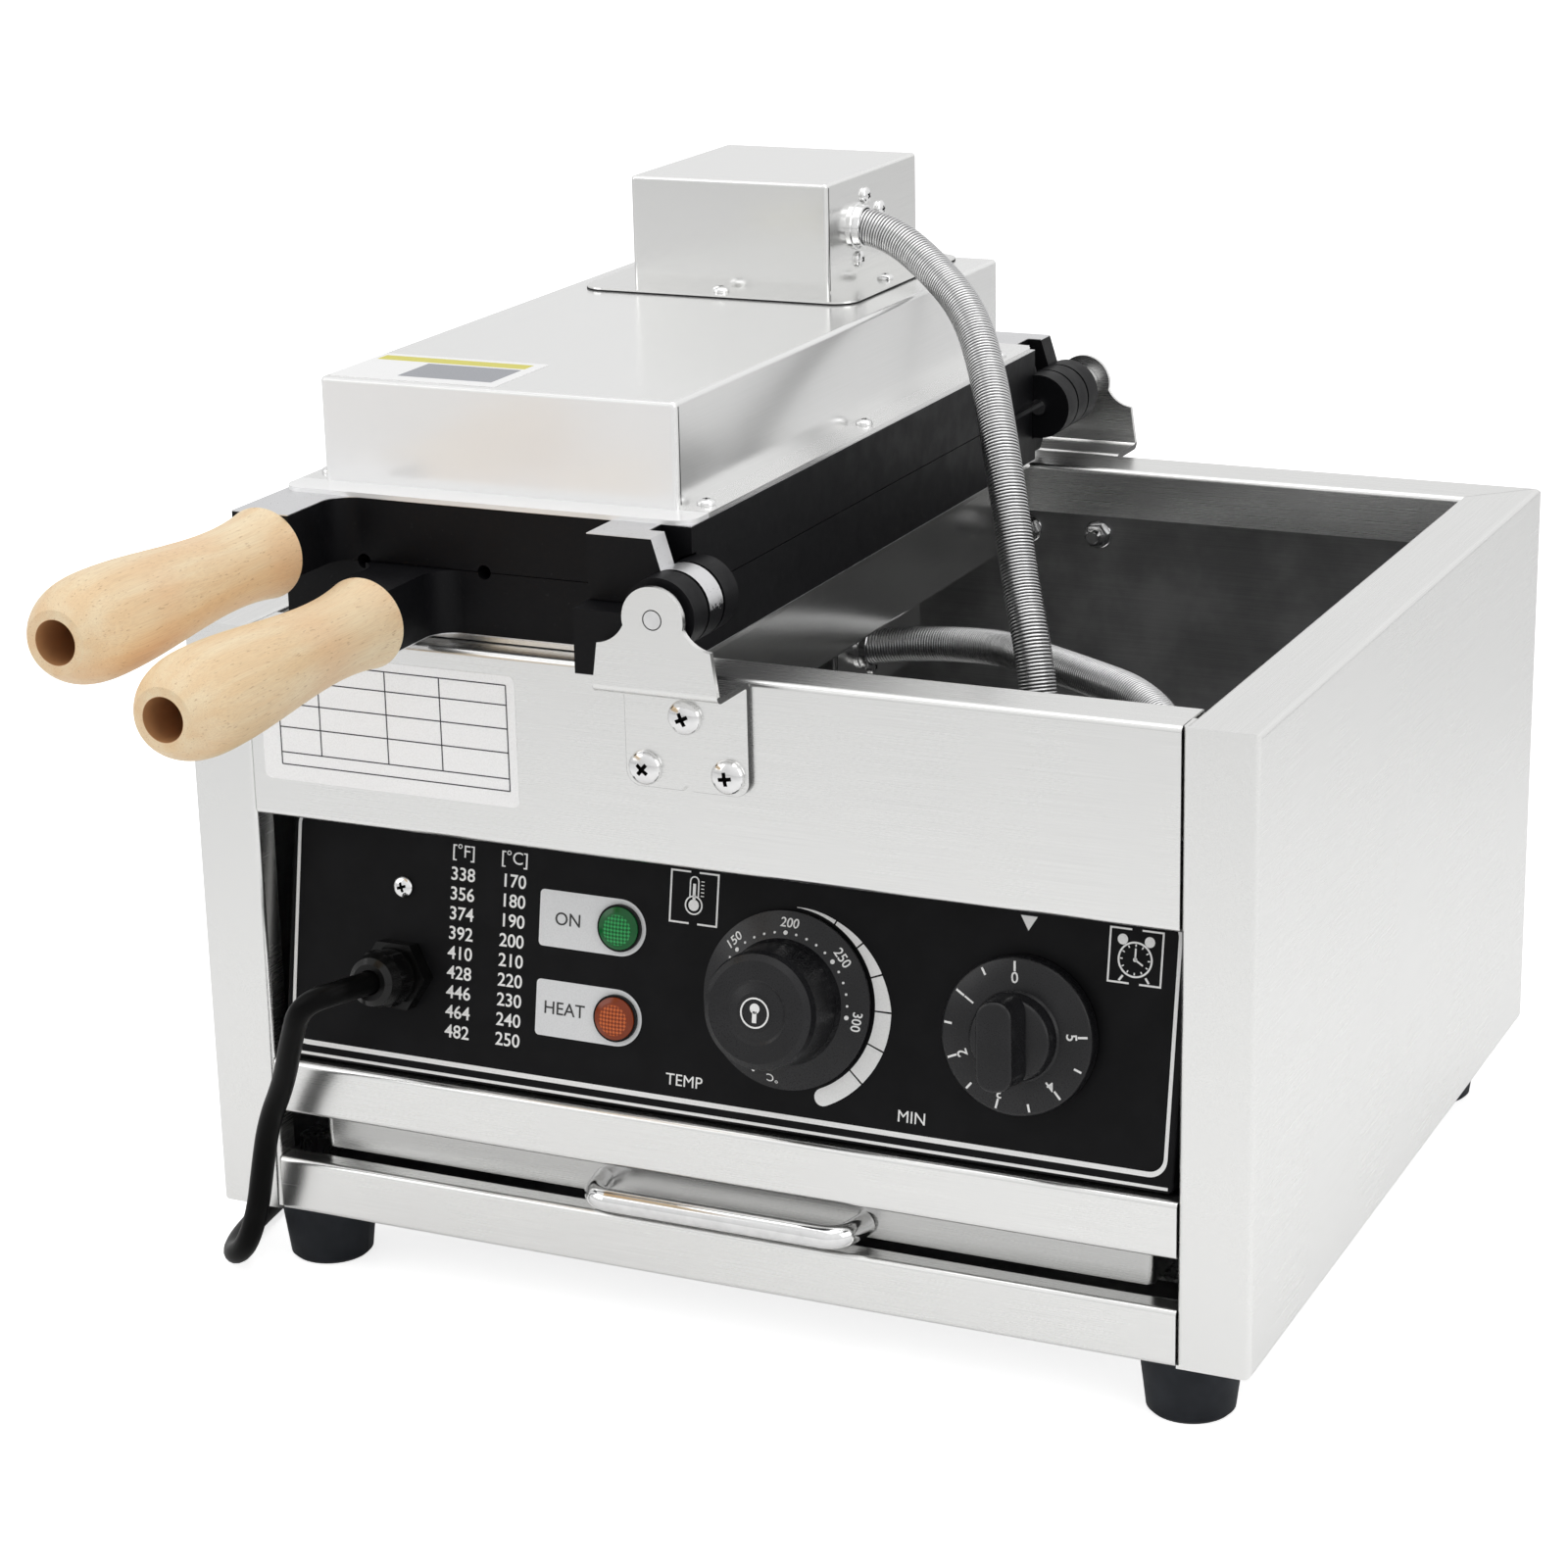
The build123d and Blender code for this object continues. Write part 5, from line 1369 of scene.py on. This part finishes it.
    def clock(self, x, y):
        """Alarm clock about a point of the panel: face, hours, hands, bells and feet."""
        place, thick = self.sheet, self.thick
        marks = [ring(5.7, 0.6, on_panel(x, y), thick)]
        marks += [bar(-0.2, 0.2, -0.8, 0.0, on_dial(x, y, 4.9, 0, a), thick) for a in range(0, 360, 30)]
        marks.append(stroke(((x, y + 3.6), (x, y), (x + 2.6, y - 1.6)), 0.55, place, thick))
        marks.append(dot(0.7, on_panel(x, y), thick))
        for side in (-1, 1):
            marks.append(dot(1.7, on_panel(x + side * 4.4, y + 6.0), thick))
            marks.append(stroke(((x + side * 3.7, y - 5.3), (x + side * 4.9, y - 7.0)), 0.7, place, thick))
        return marks


# ------------------------------------------------------------------ dials

SKIRT_RADIUS = 29.3
SKIRT_RIM = 2.2               # height of the skirt's rim above the panel
SKIRT_SLOPE = 20.6            # degrees, of the thermostat knob's skirt
CAP_HEIGHT = 26.0


def on_skirt(radius, angle):
    """Place on the sloping skirt of the thermostat's knob."""
    height = SKIRT_RIM + (SKIRT_RADIUS - radius) * math.tan(math.radians(SKIRT_SLOPE)) + 0.02
    return on_dial(*THERMOSTAT, radius, height, angle, SKIRT_SLOPE)


class CONEMAKER_OT_dial_scales(bpy.types.Operator):
    """Prints the scales of both knobs"""

    bl_idname = "conemaker.dial_scales"
    bl_label = "Dial scales"

    def execute(self, context):
        ink = printed("dial_ink", PRINT_WHITE)
        piece("thermostat_scale", join(*self.thermostat()), ink, "thermostat_dial")
        piece("timer_scale", join(*self.timer()), ink, "timer_dial")
        return {"FINISHED"}

    def thermostat(self):
        """Degrees on the sloping skirt and a ring on the cap."""
        thick = settings().print_thickness
        marks = []
        for i, value in enumerate((150, 200, 250, 300)):
            angle = 138.5 - 48.0 * i
            marks.append(lettering(str(value), 4.4, on_skirt(25.6, angle - 2), thick))
            marks.append(dot(0.75, on_skirt(22.6, angle), thick))
            if value < 300:
                marks += [dot(0.42, on_skirt(22.6, angle - 9.6 * k), thick) for k in range(1, 5)]
        marks.append(dot(0.42, on_skirt(22.8, 148.0), thick))
        marks.append(dot(0.6, on_skirt(25.6, -112.0), thick))
        marks.append(lettering("\u00b0C", 4.0, on_skirt(25.6, -96.0), thick))
        cap = on_panel(*THERMOSTAT, CAP_HEIGHT)
        marks.append(ring(5.0, 0.55, cap, thick))
        marks.append(dot(1.7, cap @ Matrix.Translation((0, 1.4, 0)), thick))
        marks.append(bar(-0.75, 0.75, -3.2, 0.6, cap, thick))
        return marks

    def timer(self):
        """Minutes from 0 to 5, counted against the clock, with half marks."""
        thick = settings().print_thickness
        marks = []
        for k in range(11):
            full = k % 2 == 0
            angle = 94.0 + 27.3 * k
            length = 3.2 if full else 2.6
            marks.append(bar(-0.35, 0.35, -length, 0.0, on_dial(*TIMER, 24.0, 6.65, angle, 1.5), thick))
            if full:
                marks.append(lettering(str(k // 2), 5.0, on_dial(*TIMER, 18.6, 6.75, angle, 1.5), thick))
        return marks


# ------------------------------------------------------------------ labels

FILM = 0.12                   # thickness of a label
# Both labels: width, height, radius of the corners, middle.
APRON_LABEL = (96.4, 44.4, 2.4, (-110.3, 205.2))
COVER_STICKER = (62.0, 38.0, 1.5, (-110.2, -122.0))
LABEL_ROWS = (224.3, 217.6, 209.6, 201.5, 192.7, 188.5)
LABEL_COLUMNS = (-151.5, -136.0, -110.4, -90.0, -65.3)


class CONEMAKER_OT_labels(bpy.types.Operator):
    """Sticks a blank ruled label on the apron and a blank sticker on the cover"""

    bl_idname = "conemaker.labels"
    bl_label = "Labels"

    def execute(self, context):
        self.film = printed("label_film", WHITE, 0.38, 0.5)
        self.apron()
        self.cover()
        return {"FINISHED"}

    def apron(self):
        """Ruled label; only its two outer lines reach down to the last row."""
        front = facing(spot(0, FRONT_Y - 0.02, 0), (0, -1, 0))
        sheet = prism(rounded_box(*APRON_LABEL), 0.0, FILM, front)
        piece("apron_label", sheet, self.film, "housing")
        left, right = LABEL_COLUMNS[0], LABEL_COLUMNS[-1]
        lines = [bar(left, right, z - 0.2, z + 0.2, front, 0.2) for z in LABEL_ROWS]
        for x in LABEL_COLUMNS:
            foot = LABEL_ROWS[-1] if x in (left, right) else LABEL_ROWS[-2]
            lines.append(bar(x - 0.2, x + 0.2, foot, LABEL_ROWS[0], front, 0.2))
        ink = printed("label_ink", (0.05, 0.05, 0.06), 0.5)
        piece("label_lines", join(*lines), ink, "housing")

    def cover(self):
        """Sticker with a plain yellow band and a grey field."""
        top = facing(spot(0, 0, COVER_TOP + 0.02), UP)
        sticker = prism(rounded_box(*COVER_STICKER), 0.0, FILM, top)
        piece("cover_sticker", sticker, self.film, "upper_plate")
        for name, corners, title, colour in (
                ("sticker_band", (-139.2, -83.4, -112.6, -106.2), "yellow_ink", (0.72, 0.66, 0.10)),
                ("sticker_field", (-118.5, -83.6, -135.0, -114.4), "grey_ink", (0.34, 0.35, 0.38))):
            piece(name, bar(*corners, top, FILM + 0.04), printed(title, colour, 0.45), "upper_plate")


OPERATORS = (
    CONEMAKER_OT_stage,
    CONEMAKER_OT_power_cord,
    CONEMAKER_OT_conduits,
    CONEMAKER_OT_sheet_metal,
    CONEMAKER_OT_castings,
    CONEMAKER_OT_small_parts,
    CONEMAKER_OT_lamps,
    CONEMAKER_OT_knobs,
    CONEMAKER_OT_grips,
    CONEMAKER_OT_fasteners,
    CONEMAKER_OT_seams,
    CONEMAKER_OT_panel_print,
    CONEMAKER_OT_dial_scales,
    CONEMAKER_OT_labels,
)


class CONEMAKER_PT_pieces(bpy.types.Panel):
    """Lists the steps that build the machine's looks"""

    bl_idname = "CONEMAKER_PT_pieces"
    bl_label = "Waffle cone maker"
    bl_space_type = "VIEW_3D"
    bl_region_type = "UI"
    bl_category = "Cone maker"

    def draw(self, context):
        for kind in OPERATORS:
            self.layout.operator(kind.bl_idname)


CLASSES = (MakerSettings, *OPERATORS, CONEMAKER_PT_pieces)


def register():
    for kind in CLASSES:
        bpy.utils.register_class(kind)
    bpy.types.Scene.cone_maker = bpy.props.PointerProperty(type=MakerSettings)


def unregister():
    del bpy.types.Scene.cone_maker
    for kind in reversed(CLASSES):
        bpy.utils.unregister_class(kind)


def main():
    """Registers the add-on and builds every piece in order."""
    register()
    for kind in OPERATORS:
        group, name = kind.bl_idname.split(".")
        getattr(getattr(bpy.ops, group), name)()


if __name__ == "__main__":
    main()
